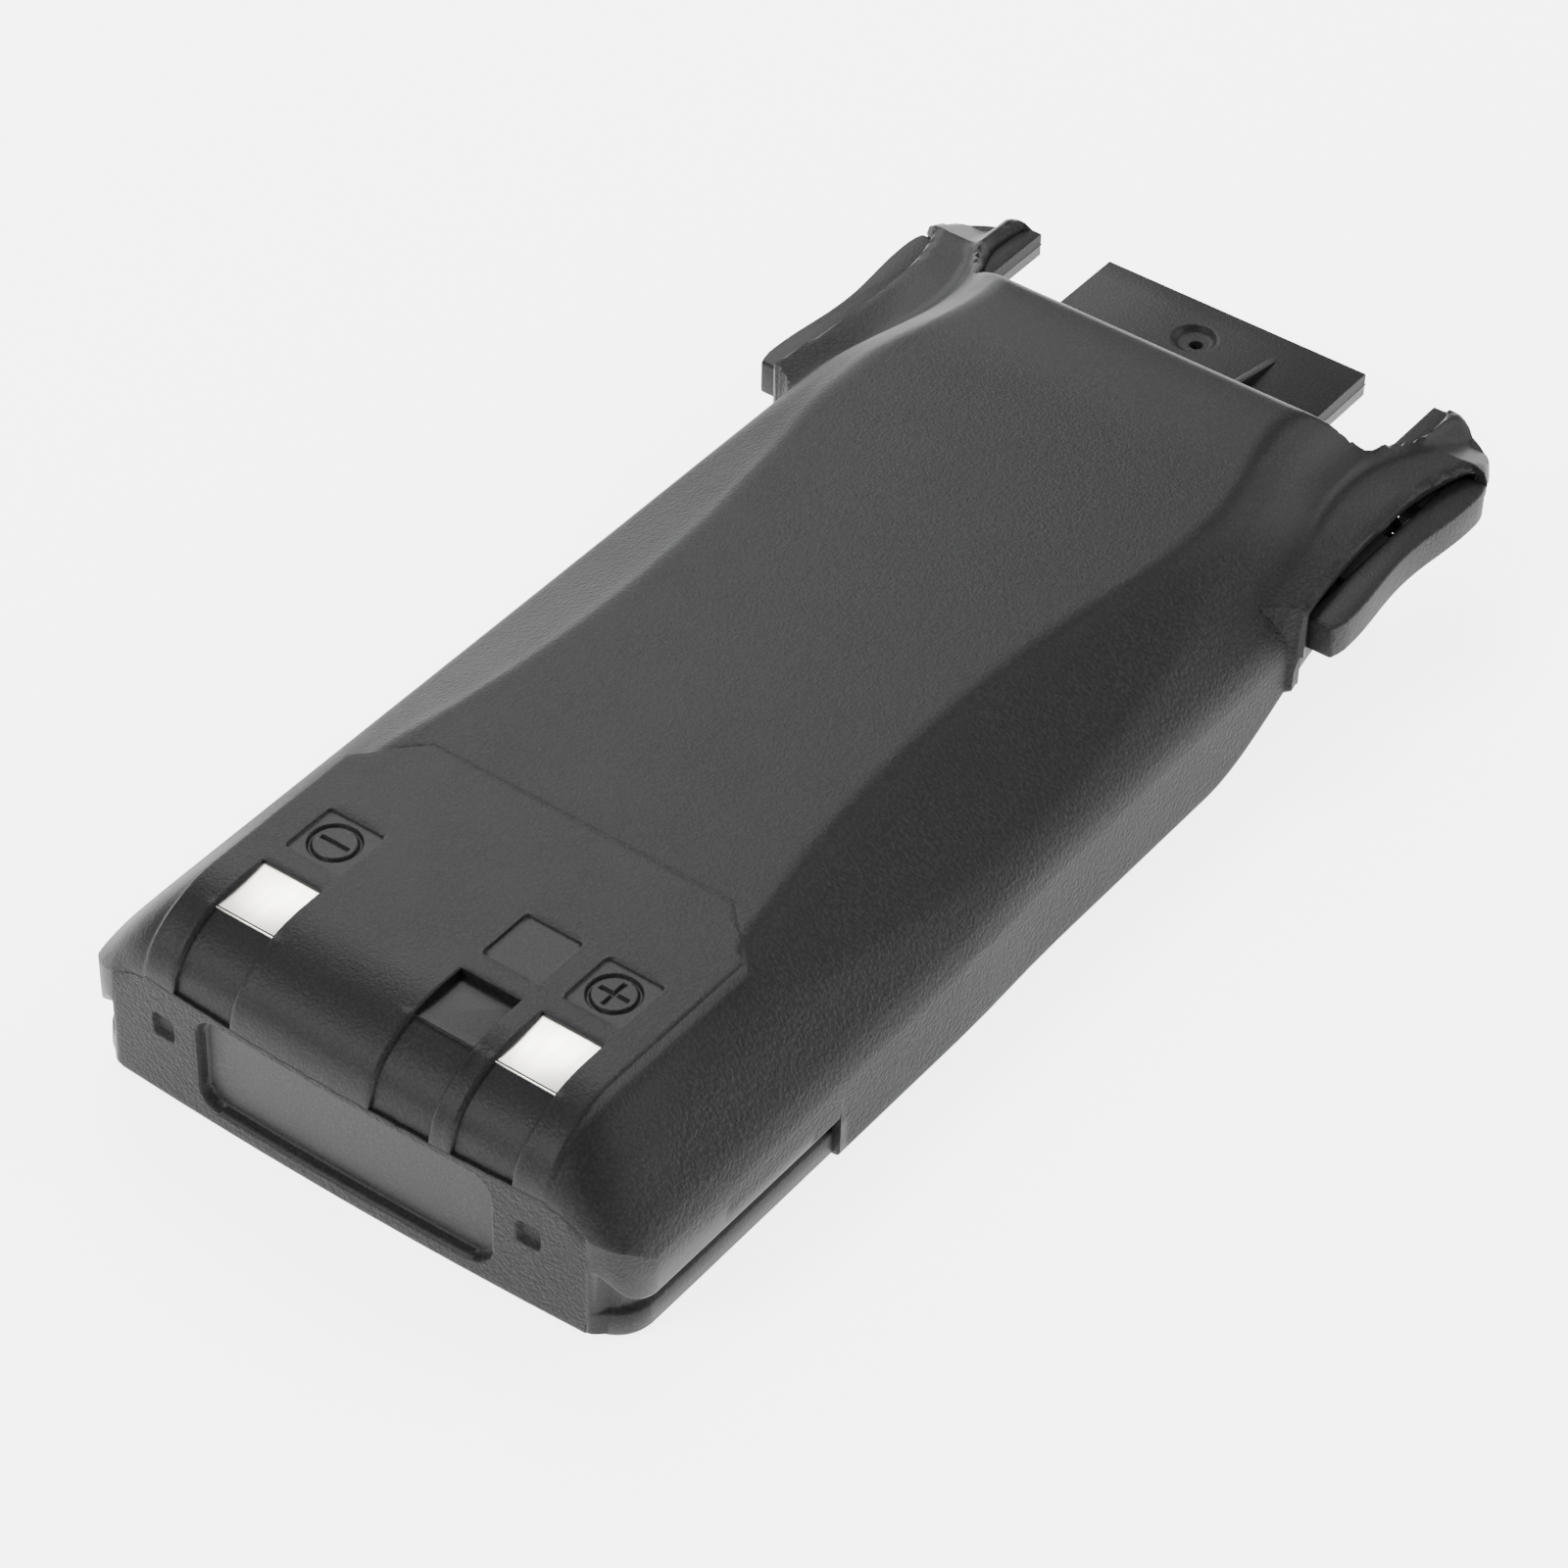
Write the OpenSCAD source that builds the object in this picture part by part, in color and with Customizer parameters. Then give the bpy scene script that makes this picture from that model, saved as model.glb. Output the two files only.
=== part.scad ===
// Clip-on battery pack for a handheld two-way radio.
// X runs across the pack, Y from the contact end to the tongue end, Z up from the radio side.
// The origin is the middle of the pack on the radio side.

/* [Body] */
// Length of the body from the contact end to the upper end wall
body_l = 107; // [90:1:130]
// Width of the body where it meets the radio
body_w = 52; // [46:0.5:63]
// Height of the flat back above the radio side
body_h = 17.6; // [16:0.1:21]
// Outward lean of each side wall at its widest
side_bulge = 0.3; // [0:0.1:1]
// Height of the widest line of the side
side_z = 9; // [8.5:0.5:10]
// Radius of the body's corners in plan
corner_r = 4; // [2:0.5:6]
// Radius that rolls the back over into the contact end
end_roll_r = 9; // [6:0.5:11]
// Radius that rolls the back over into the upper end wall
crest_r = 3; // [1:0.5:4]
// How far the contact end bows outward
end_bow = 0.75; // [0.2:0.05:1.5]

/* [Walls] */
// Thickness of the moulded walls
wall_t = 1.6; // [1.2:0.1:2]
// Thickness of the contact end wall
end_wall_t = 2.4; // [2.2:0.1:3]
// Thickness of the front cover
cover_t = 1.5; // [1.2:0.1:1.8]
// Gap round the front cover and other fixed fits
fit_gap = 0.15; // [0.1:0.05:0.3]

/* [Scalloped sides] */
// Slope of each scalloped facet
facet_a = 30; // [26:1:33]
// Radius of the scallop along the pack
facet_r = 225; // [180:5:300]
// Distance of the scallop's middle from the contact end
facet_mid = 54; // [46:1:60]
// Width of the scallop at its middle
facet_w = 11.5; // [9.5:0.5:13]
// Drop of the shoulder's upper edge below the flat back
shoulder_drop = 1; // [0.5:0.1:1.5]

/* [Contact panel] */
// Distance of the raised contact panel from the body's side
panel_side = 7.1; // [6:0.1:8]
// Distance of the panel's far edge from the contact end
panel_l = 28.3; // [24:0.1:32]
// Cut across the panel's far corners
panel_cut = 4.5; // [3:0.1:7]
// Thickness of the back over the charging contacts
panel_wall_t = 1.2; // [1:0.1:1.4]
// Width and length of a contact window
window_s = 5.5; // [4.5:0.1:6]
// Distance of the windows' near edge from the contact end
window_y = 5.5; // [5:0.1:7]
// Distance of the outer windows' middle from the centre line
window_x = 13.28; // [12:0.1:14]
// Distance of the blank window's middle from the centre line
blank_x = 5.71; // [4.5:0.1:6]
// Side of the shallow square beside each window
tag_s = 5.28; // [4.5:0.1:5.6]
// Distance of the squares' near edge from the contact end
tag_y = 13.15; // [13:0.05:16]
// Depth of the shallow squares and of the blank window
tag_depth = 0.25; // [0.15:0.05:0.4]

/* [Contact end] */
// Half width of the smooth recess in the end face
end_recess_half = 14; // [10:0.5:16]
// Height of the recess
end_recess_h = 9; // [6:0.5:9.5]
// Depth of the recess
end_recess_depth = 0.9; // [0.4:0.1:1]
// Length of the charger slot in each side
slot_l = 26.5; // [20:0.5:30]
// Depth of the charger slot
slot_depth = 1.8; // [1:0.1:2]
// Height of the charger slot's upper edge
slot_top = 4; // [3.5:0.1:4.6]

/* [Upper end] */
// Length of the locating tongue past the end wall
tongue_l = 13; // [8:0.5:20]
// Width of the tongue
tongue_w = 26.44; // [20:0.1:30]
// Height of the top face of tongue and horns
tongue_top = 12; // [11.4:0.1:12.6]
// Thickness of tongue and horns
tongue_t = 2.4; // [1.8:0.1:2.8]
// Distance of the horns' inner face from the body's side
horn_side = 5.8; // [5:0.1:7]
// Height of the step on the radio side under the upper end
step_h = 6.5; // [5:0.1:7]
// Distance of the step's start from the upper end wall
step_from = 30; // [27:0.5:34]
// Length of the step's curve
step_run = 20; // [14:0.5:21]
// Height of the lip over each release button
lip_z = 13; // [12.6:0.1:13.6]

/* [Release buttons] */
// Distance that each release button stands out of the body's side
button_proud = 3.3; // [2.8:0.1:4]
// Length of a release button
button_l = 24; // [20:0.5:26]
// Height of a release button
button_h = 3.3; // [2.6:0.1:3.4]
// Thickness of a button's outer block
button_t = 2.9; // [2.2:0.1:3.2]
// Travel of a release button
button_travel = 2; // [1:0.1:2.2]
// Running gap round a release button
button_gap = 0.3; // [0.2:0.05:0.5]
// Diameter of a latch spring
spring_d = 3; // [2.4:0.1:3.4]
// Wire diameter of a latch spring
spring_wire = 0.35; // [0.25:0.05:0.5]

/* [Inside] */
// Thickness of the charging contacts and of the strips
contact_t = 0.3; // [0.2:0.05:0.5]
// Thickness of the protection board
board_t = 0.8; // [0.6:0.1:1]
// Length of the protection board
board_l = 17.4; // [14:0.2:19]
// Gap between the cells and what holds them
cell_gap = 0.3; // [0.2:0.05:0.5]

/* [Hidden] */
$fn = 64;
eps = 0.01;
big = 200;

parting_z = 11.7;
pack_l = body_l + tongue_l;
y0 = -pack_l / 2;
end_y = y0 + body_l;
tip_y = y0 + pack_l;
half_w = body_w / 2;
flat_half = half_w - facet_w;
panel_half = half_w - panel_side;
horn_x = half_w - horn_side;
button_outer = half_w + button_proud;
side_half = half_w + side_bulge;
shoulder_z = body_h - shoulder_drop;
shoulder_a = atan((shoulder_z - side_z) / (side_half - panel_half));
bow_r = (half_w * half_w + end_bow * end_bow) / (2 * end_bow);

// Latch zone
step_y = end_y - step_from;
latch_y = end_y - 18;
latch_half = half_w - 3.4;
button_y = end_y - 17.4;
button_z = step_h + 1.6;
pocket_z = button_z - button_gap;
pocket_top = button_z + button_h + button_gap;
pocket_x = button_outer - button_t - button_travel - button_gap;
stem_y = button_y + 6;
stem_l = 7;
stem_x = latch_half - 8.6;
stem_z = button_z + 1;
stem_h = button_h - 1.1;
catch_x = latch_half - 4.1;
catch_t = 2;
catch_drop = 3.8;
stop_x = stem_x - 8.8;
spring_z = stem_z + stem_h / 2;
spring_y = stem_y + stem_l / 2;

// Stack above the cells, from the back downward
contact_z = body_h - panel_wall_t - 0.05;
board_top = contact_z - contact_t - 2;
board_z = board_top - board_t;
sheet_t = 0.4;
cell_top = board_z - 1.05;
cell_z = cover_t + 0.45;
cell_h = cell_top - cell_z;
cell_half = min(shoulder_x(cell_top, wall_t), facet_x(cell_top, wall_t)) - cell_gap;
bay_y = y0 + end_wall_t + 5.8;
bay_end = step_y + 0.6;
cell_l = (bay_end - bay_y - cell_gap) / 2;
board_y = y0 + end_wall_t + 2.9;
board_half = shoulder_x(board_top, wall_t) - 0.3;
block_y = y0 + end_wall_t + 0.2;
block_l = 5.2;
terminal_x = cell_half - 7.4;
terminal_y = cell_l - 7;
strip_w = 3;
bypass_x = -terminal_x + strip_w + 1;
strip_z = cell_top + contact_t + 0.02;
strip_y = board_y + board_l - 2;
pad_x = 5;
pad_w = 4;
leg_y = block_y + 3.2;

// Half width on the sloping shoulder at height z, moved inward by an inset
function shoulder_x(z, inset) =
    side_half - (z - side_z) / tan(shoulder_a) - inset / sin(shoulder_a);

// Half width at the middle of the scallop at height z, moved inward by an inset
function facet_x(z, inset) =
    flat_half + (body_h - z) / tan(facet_a) - inset / sin(facet_a);

// Rise of the radio side along the pack
function step_rise(y) =
    y < step_y ? 0
    : y > step_y + step_run ? step_h
    : step_h * (1 - cos(180 * (y - step_y) / step_run)) / 2;

module both_sides() {
    children();
    mirror([1, 0, 0]) children();
}

// Outline in XZ pushed along Y
module along_y(from, to) {
    translate([0, to, 0]) rotate([90, 0, 0]) linear_extrude(to - from) children();
}

// Outline in YZ pushed along X
module along_x(from, to) {
    translate([from, 0, 0]) rotate([90, 0, 90]) linear_extrude(to - from) children();
}

module rounded_rect(w, l, r) {
    translate([-w / 2 + r, 0]) square([w - 2 * r, l]);
    translate([-w / 2, r]) square([w, l - 2 * r]);
    for (x = [-1, 1], y = [0, 1])
        translate([x * (w / 2 - r), y ? l - r : r]) circle(r);
}

// Plan of the body with its bowed contact end
module body_plan(inset, end_inset) {
    w = 2 * (side_half - inset);
    intersection() {
        translate([0, y0 + end_inset]) rounded_rect(w, body_l - end_inset - inset, corner_r);
        translate([0, y0 + end_inset + bow_r]) circle(bow_r, $fn = 256);
    }
}

// Cross section of the body, inset inward on every face
module body_section(inset) {
    top = body_h - inset;
    top_x = min(panel_half, shoulder_x(top, inset));
    right = [
        [half_w - inset, -1],
        [half_w - inset, 0],
        [shoulder_x(side_z, 0) - inset, side_z - 1.6],
        [shoulder_x(side_z, 0) - inset, side_z - inset / 2],
        [shoulder_x(shoulder_z - inset, inset), shoulder_z - inset],
        [top_x, top]
    ];
    left = [for (i = [len(right) - 1:-1:0]) [-right[i].x, right[i].y]];
    polygon(concat(right, left));
}

// Side profile with the rolled contact end and the rounded crest
module body_profile(inset, end_inset) {
    near = y0 + end_inset;
    far = end_y - inset;
    roll = end_roll_r - inset;
    crest = crest_r - min(inset, crest_r - 1);
    top = body_h - inset;
    polygon(concat(
        [[near, -1], [near, top - roll], [near + roll, top], [far - crest, top], [far, top - crest]],
        [[far, step_h]],
        [for (i = [12:-1:0]) [step_y + step_run * i / 12, step_rise(step_y + step_run * i / 12)]],
        [[step_y - 1, -1]]));
    intersection() {
        translate([near + roll, top - roll]) circle(roll, $fn = 96);
        translate([near, top - roll]) square([roll, roll]);
    }
    intersection() {
        translate([far - crest, top - crest]) circle(crest);
        translate([far - crest, top - crest]) square([crest, crest]);
    }
}

// Space below the radio side, up to the step, cut from everything
module under_step(rise) {
    polygon(concat(
        [[y0 - 10, -10], [tip_y + 10, -10], [tip_y + 10, step_h + rise]],
        [for (i = [12:-1:0])
            [step_y + step_run * i / 12, step_rise(step_y + step_run * i / 12) + rise]],
        [[y0 - 10, rise]]));
}

// Tool that leaves a scalloped facet on the right
module facet_cut(inset) {
    translate([flat_half, y0 + facet_mid, body_h])
        rotate([0, facet_a, 0])
        translate([-12, 0, facet_r - inset])
        rotate([0, 90, 0])
        cylinder(r = facet_r, h = 40, $fn = 256);
}

// Solid of the body, inset on every face
module body_solid(inset, end_inset) {
    difference() {
        intersection() {
            translate([0, 0, -1]) linear_extrude(body_h + 2) body_plan(inset, end_inset);
            along_y(y0, end_y) body_section(inset);
            along_x(-side_half, side_half) body_profile(inset, end_inset);
        }
        both_sides() facet_cut(inset);
    }
}

// Plan of a wing with its horn, right-hand side
module wing_plan(inner) {
    horn_r = 8;
    outer = button_outer + 0.1;
    translate([inner, latch_y]) square([side_half + 0.2 - inner, end_y - latch_y + eps]);
    intersection() {
        union() {
            translate([inner, end_y]) square([outer - horn_r - inner + eps, tip_y - 0.3 - end_y]);
            translate([outer - horn_r, end_y]) square([horn_r, tip_y - 0.3 - horn_r - end_y]);
            translate([outer - horn_r, tip_y - 0.3 - horn_r]) circle(horn_r);
        }
        translate([inner, end_y]) square([outer, tongue_l]);
    }
}

// Shoulder that rises over each release button
module wing() {
    start = latch_y + 0.4;
    intersection() {
        linear_extrude(body_h) wing_plan(flat_half);
        along_y(latch_y, end_y)
            polygon([[flat_half, step_h], [side_half + 0.2, step_h], [side_half + 0.2, lip_z],
                [horn_x + 2.3, lip_z + 0.2], [panel_half, body_h - 0.3], [flat_half, body_h - 0.3]]);
        along_x(flat_half, side_half + 0.2)
            polygon([[start, step_h], [start, side_z], [start + body_h - side_z, body_h],
                [end_y - crest_r, body_h], [end_y, body_h - crest_r], [end_y, step_h]]);
    }
}

// Flat horn beside the tongue with the scooped shoulder above it
module horn() {
    translate([0, 0, tongue_top - tongue_t]) linear_extrude(tongue_t) wing_plan(horn_x);
    intersection() {
        linear_extrude(body_h) wing_plan(horn_x + 1.8);
        along_x(horn_x + 1.8, side_half + 0.2)
            polygon([[end_y - 1, tongue_top - tongue_t], [end_y - 1, lip_z + 1],
                [end_y + 2.5, lip_z + 0.7], [end_y + 8, tongue_top + 1.2], [end_y + 11.5, tongue_top - 0.2]]);
    }
}

// Tongue with its round dimple and its gusset
module tongue() {
    dimple_y = tip_y - 4.4;
    difference() {
        translate([-tongue_w / 2, end_y - wall_t, tongue_top - tongue_t])
            cube([tongue_w, tongue_l + wall_t, tongue_t]);
        translate([-1.1, dimple_y, tongue_top - 0.5]) cylinder(d = 4.3, h = 1);
        translate([-1.1, dimple_y, tongue_top - tongue_t - 1]) cylinder(d = 1.2, h = tongue_t + 2);
    }
    along_x(5, 6.4)
        polygon([[end_y - 1, tongue_top - 1], [end_y - 1, body_h - 4.5], [end_y, body_h - 4.5],
            [tip_y - 2.5, tongue_top], [tip_y - 2.5, tongue_top - 1]]);
}

// Solid kept inside the cavity: slot backing, button housings and spring stops
module inner_blocks() {
    roof = body_h;
    both_sides() {
        translate([half_w - slot_depth - 1.5, y0, 0])
            cube([big, slot_l + 1.6, slot_top + 1.4]);
        translate([latch_half, latch_y - 1.2, 0]) cube([big, big, roof]);
        translate([stop_x - 1.2, spring_y - 2.5, stem_z - 0.1]) cube([1.2, 5, roof]);
    }
}

module cavity() {
    difference() {
        body_solid(wall_t, end_wall_t);
        inner_blocks();
    }
}

// Plan of the raised contact panel
module panel_plan() {
    polygon([[-panel_half, y0 - 1], [panel_half, y0 - 1], [panel_half, y0 + panel_l - panel_cut],
        [panel_half - panel_cut, y0 + panel_l], [-panel_half + panel_cut, y0 + panel_l],
        [-panel_half, y0 + panel_l - panel_cut]]);
}

module panel() {
    difference() {
        intersection() {
            linear_extrude(body_h) panel_plan();
            linear_extrude(body_h) body_plan(0, 0);
            along_x(-side_half, side_half) body_profile(0, 0);
        }
        translate([-big / 2, y0, -eps]) cube([big, panel_l, body_h - 2.6]);
        body_solid(wall_t, end_wall_t);
    }
}

// Square prism standing from a floor height up through the back
module square_cut(x, y, s, floor_z) {
    translate([x - s / 2, y0 + y, floor_z]) cube([s, s, big]);
}

// Shallow round symbol with a bar, and a second bar for plus
module symbol(x, bars) {
    centre_y = y0 + tag_y + tag_s / 2;
    floor_z = body_h - tag_depth - 0.2;
    translate([x, centre_y, floor_z]) difference() {
        cylinder(d = 4.2, h = big);
        translate([0, 0, -1]) cylinder(d = 3.5, h = big);
    }
    for (i = [0:bars - 1])
        translate([x, centre_y, floor_z]) rotate([0, 0, 90 * i]) translate([-1.3, -0.25, 0])
            cube([2.6, 0.5, big]);
}

// Shallow channel from a window round the rolled end to the parting line
module channel(x) {
    depth = 0.5;
    along_x(x - window_s / 2, x + window_s / 2) difference() {
        translate([y0 - 1, parting_z]) square([window_y + 1.5, body_h]);
        body_profile(depth, depth + end_bow / 2);
    }
}

// Room on the inside for a charging contact's plate
module contact_room() {
    s = window_s + 1.6 + 2 * fit_gap;
    translate([window_x - s / 2, y0 + window_y + (window_s - s) / 2 + 1, board_top])
        cube([s, s - 1, contact_z + 0.05 - board_top]);
}

module panel_cuts() {
    for (x = [-window_x, window_x]) square_cut(x, window_y, window_s, body_h - 2.6);
    for (x = [-window_x, blank_x, window_x]) channel(x);
    both_sides() contact_room();
    square_cut(blank_x, window_y, window_s, contact_z);
    for (x = [-window_x, blank_x, window_x]) square_cut(x, tag_y, tag_s, body_h - tag_depth);
    symbol(-window_x, 1);
    symbol(window_x, 2);
}

// Charger slot with its thin outer lip, right-hand side
module slot_cut() {
    floor_x = half_w - slot_depth;
    difference() {
        translate([floor_x, y0 - 1, 1.2]) cube([big, slot_l + 1, slot_top - 1.2]);
        translate([half_w - 0.8, y0 + 1.5, 0]) cube([0.8, slot_l, 2.7]);
    }
}

module end_cuts() {
    translate([-end_recess_half, y0 - 1, 2]) cube([2 * end_recess_half, 1 + end_recess_depth, end_recess_h]);
    both_sides() translate([16.4, y0 - 1, 6.5]) cube([2, 1.6, 2]);
}

// Room for the release button, its stem and its catch, right-hand side
module button_room() {
    translate([pocket_x, button_y - button_gap, pocket_z])
        cube([big, button_l + 2 * button_gap, pocket_top - pocket_z]);
    translate([latch_half - 1, stem_y - button_gap, stem_z - button_gap])
        cube([6, stem_l + 2 * button_gap, stem_h + 2 * button_gap]);
}

module back_shell() {
    color("#2b2b2d") difference() {
        union() {
            difference() {
                union() {
                    body_solid(0, 0);
                    both_sides() wing();
                    both_sides() horn();
                }
                cavity();
                along_x(-big, big) under_step(0);
            }
            panel();
            tongue();
        }
        panel_cuts();
        end_cuts();
        both_sides() slot_cut();
        both_sides() button_room();
    }
}

// Plan of the front cover, clear of the blocks inside the shell
module cover_plan() {
    difference() {
        body_plan(wall_t + side_bulge + fit_gap, end_wall_t + fit_gap);
        both_sides() {
            translate([half_w - slot_depth - 1.5 - fit_gap, y0 - 1]) square([big, slot_l + 2.6 + fit_gap]);
            translate([latch_half - fit_gap, latch_y - 1.2 - fit_gap]) square([big, big]);
        }
    }
}

module front_cover() {
    label_y = y0 + 40;
    color("#242426") difference() {
        linear_extrude(step_h + cover_t) cover_plan();
        along_x(-big, big) under_step(0);
        difference() {
            translate([-big / 2, y0 - 1, cover_t]) cube([big, pack_l, big]);
            along_x(-big, big) under_step(cover_t);
        }
        both_sides() translate([pad_x - pad_w / 2, block_y + 0.6, -1]) cube([pad_w, 3.4, 5]);
        both_sides() translate([catch_x - button_travel - button_gap, stem_y + 1 - button_gap, 0])
            cube([catch_t + button_travel + 2 * button_gap, stem_l - 2 + 2 * button_gap, 10]);
        translate([-15, label_y, -1]) cube([30, 22, 1.2]);
    }
}

// Outer block with its waved face, right-hand side
module button_block() {
    outer = button_outer;
    points = [for (i = [0:12]) [
        outer - 0.35 + 0.35 * cos(720 * i / 12) - (i == 0 || i == 12 ? 0.4 : 0),
        button_y + button_l * i / 12]];
    translate([0, 0, button_z]) linear_extrude(button_h)
        polygon(concat([[outer - button_t, button_y]], points,
            [[outer - button_t, button_y + button_l]]));
}

module release_button() {
    outer = button_outer;
    button_block();
    translate([stem_x, stem_y, stem_z]) cube([outer - button_t - stem_x + eps, stem_l, stem_h]);
    translate([catch_x, stem_y + 1, stem_z - catch_drop]) cube([catch_t, stem_l - 2, catch_drop + eps]);
    translate([stem_x - 2.6, spring_y, spring_z]) rotate([0, 90, 0])
        cylinder(d = spring_d - 2 * spring_wire - 0.3, h = 2.6 + eps);
}

module release_button_right() {
    color("#1f1f21") release_button();
}

module release_button_left() {
    color("#1f1f21") mirror([1, 0, 0]) release_button();
}

// Coil spring along X, one ring of the wire at each step of its turns
module coil(from, to, turns) {
    steps = turns * 12;
    sides = 8;
    radius = (spring_d - spring_wire) / 2;
    rise = (to - from - spring_wire) / steps;
    tilt = atan(rise * steps / turns / (2 * PI * radius));
    rings = [for (i = [0:steps], j = [0:sides - 1])
        let (a = 360 * i / 12, b = 360 * j / sides, w = spring_wire / 2,
            r = radius + w * cos(b), s = w * sin(b))
        [from + spring_wire / 2 + rise * i + s * cos(tilt),
            r * cos(a) + s * sin(tilt) * sin(a), r * sin(a) - s * sin(tilt) * cos(a)]];
    walls = [for (i = [0:steps - 1], j = [0:sides - 1], half = [0, 1])
        let (k = (j + 1) % sides, a = i * sides, b = a + sides)
        half ? [a + j, b + k, b + j] : [a + j, a + k, b + k]];
    caps = [[for (j = [sides - 1:-1:0]) j], [for (j = [0:sides - 1]) steps * sides + j]];
    polyhedron(rings, concat(walls, caps));
}

module latch_spring() {
    translate([0, spring_y, spring_z]) coil(stop_x + 0.05, stem_x - 0.05, 5);
}

module latch_spring_right() {
    color("#c8c8c8") latch_spring();
}

module latch_spring_left() {
    color("#c8c8c8") mirror([1, 0, 0]) latch_spring();
}

// Prismatic cell lying across the pack, rounded along its long edges
module cell(from) {
    r = min(4, cell_h / 2 - 0.5);
    translate([0, 0, cell_z]) along_x(-cell_half, cell_half)
        translate([from + cell_l / 2, 0]) rounded_rect(cell_l, cell_h, r);
}

module cell_lower() {
    color("#3f6f9f") cell(bay_y);
}

module cell_upper() {
    color("#3f6f9f") cell(bay_y + cell_l + cell_gap);
}

// Terminal plates on the cells' top faces
module cell_terminals() {
    color("#d0d0c8") for (y = [bay_y, bay_y + cell_l + cell_gap], x = [-1, 1])
        translate([x * terminal_x - 2, y + terminal_y, cell_top]) cube([4, 4, contact_t]);
}

module series_strip() {
    color("#dcdcd4") translate([terminal_x - strip_w / 2, bay_y + terminal_y, strip_z])
        cube([strip_w, cell_l + cell_gap + 4, contact_t]);
}

// Strip that runs from a terminal at far, at x, and bends up to the board
module board_strip(x, far) {
    translate([x - strip_w / 2, strip_y, strip_z]) {
        cube([strip_w, far - strip_y, contact_t]);
        cube([strip_w, contact_t, board_z - strip_z]);
    }
}

// Strip from the upper cell, which steps inward and passes beside the lower cell's terminal
module positive_strip() {
    far = bay_y + terminal_y + cell_l + cell_gap + 4;
    color("#dcdcd4") {
        board_strip(bypass_x, far);
        translate([-terminal_x - strip_w / 2, far - 3.5, strip_z])
            cube([bypass_x + terminal_x, 3, contact_t]);
    }
}

// Strip from the lower cell's other terminal to the board
module negative_strip() {
    color("#dcdcd4") board_strip(-terminal_x, bay_y + terminal_y + 4);
}

module protection_board() {
    color("#1f6b3a") difference() {
        translate([-board_half, board_y, board_z]) cube([2 * board_half, board_l, board_t]);
        for (x = [-1, 1]) translate([x * (board_half - 2), board_y + board_l - 3, board_z - 1])
            cylinder(d = 1.6, h = board_t + 2);
    }
}

module protection_chips() {
    color("#1a1a1a") {
        translate([-3, board_y + 7.5, board_top]) cube([5, 4, 1]);
        translate([4.5, board_y + 7.5, board_top]) cube([3, 3, 0.9]);
        translate([-8.5, board_y + 8, board_top]) cube([3, 3, 0.9]);
    }
}

module board_parts() {
    color("#b89a6a") for (i = [0:5])
        translate([-8 + 3 * i, board_y + 13.4, board_top]) cube([1.6, 0.8, 0.6]);
}

module thermal_cutoff() {
    width = strip_w + 1;
    color("#8a8a86")
        translate([bypass_x - width / 2, bay_y + cell_l - 16, strip_z + contact_t + 0.02])
        cube([width, 7, 1.2]);
}

module thermistor() {
    color("#30302c") translate([3, board_y + board_l + 0.4, cell_top]) cube([1.6, 2.4, 1.2]);
}

// Flat plate under a window with a foot that stands on the board
module charge_contact() {
    s = window_s + 1.6;
    color("#e6e6e2") translate([window_x, y0 + window_y + window_s / 2, 0]) {
        translate([-s / 2, -s / 2 + 1, contact_z - contact_t]) cube([s, s - 1, contact_t]);
        translate([-s / 2, s / 2 - contact_t, board_top])
            cube([s, contact_t, contact_z - board_top]);
        translate([-s / 2, s / 2 - contact_t, board_top]) cube([s, 1.5, contact_t]);
    }
}

module charge_contact_positive() {
    charge_contact();
}

module charge_contact_negative() {
    mirror([1, 0, 0]) charge_contact();
}

// Pad seen through the front cover, with a leg up to the board
module radio_contact() {
    pad_z = cover_t + 0.1;
    color("#d9b65a") {
        translate([pad_x - pad_w / 2 + 0.3, block_y + 0.9, pad_z - 1.1]) cube([pad_w - 0.6, 2.8, contact_t]);
        translate([pad_x - pad_w / 2 + 0.3, leg_y + 0.2, pad_z - 1.1])
            cube([pad_w - 0.6, contact_t, board_z - pad_z + 1.1]);
    }
}

module radio_contact_positive() {
    radio_contact();
}

module radio_contact_negative() {
    mirror([1, 0, 0]) radio_contact();
}

module contact_block() {
    color("#303034") difference() {
        translate([-9, block_y, cover_t]) cube([18, block_l, 6.5]);
        both_sides() translate([pad_x - pad_w / 2, leg_y, 0]) cube([pad_w, 0.7, big]);
    }
}

module insulator_sheet() {
    near = bay_y + 1;
    far = strip_y - 0.3;
    color("#b8b49a") translate([-board_half, near, cell_top])
        cube([2 * board_half, far - near, sheet_t]);
}

module foam_pad(from, to) {
    half = -bypass_x - strip_w / 2 - 0.8;
    color("#58585a") translate([-half, from, cell_top])
        cube([2 * half, to - from, body_h - wall_t - cell_top]);
}

module foam_pad_lower() {
    foam_pad(board_y + board_l + 4, bay_y + cell_l - 2);
}

module foam_pad_upper() {
    foam_pad(bay_y + cell_l + 4, bay_end - 6);
}

module adhesive_tape() {
    color("#d8d4c0") translate([-16, bay_y + 3, cover_t])
        cube([32, bay_end - bay_y - 6, cell_z - cover_t]);
}

module rating_label() {
    color("#3a3a3c") translate([-14.8, y0 + 40.2, 0.05]) cube([29.6, 21.6, 0.15]);
}

back_shell();
front_cover();
release_button_left();
release_button_right();
latch_spring_left();
latch_spring_right();
cell_lower();
cell_upper();
cell_terminals();
series_strip();
positive_strip();
negative_strip();
protection_board();
protection_chips();
board_parts();
thermal_cutoff();
thermistor();
charge_contact_negative();
charge_contact_positive();
radio_contact_negative();
radio_contact_positive();
contact_block();
insulator_sheet();
foam_pad_lower();
foam_pad_upper();
adhesive_tape();
rating_label();
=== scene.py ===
from math import asin, cos, exp, hypot, pi, radians, sin, sqrt, tan

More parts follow.
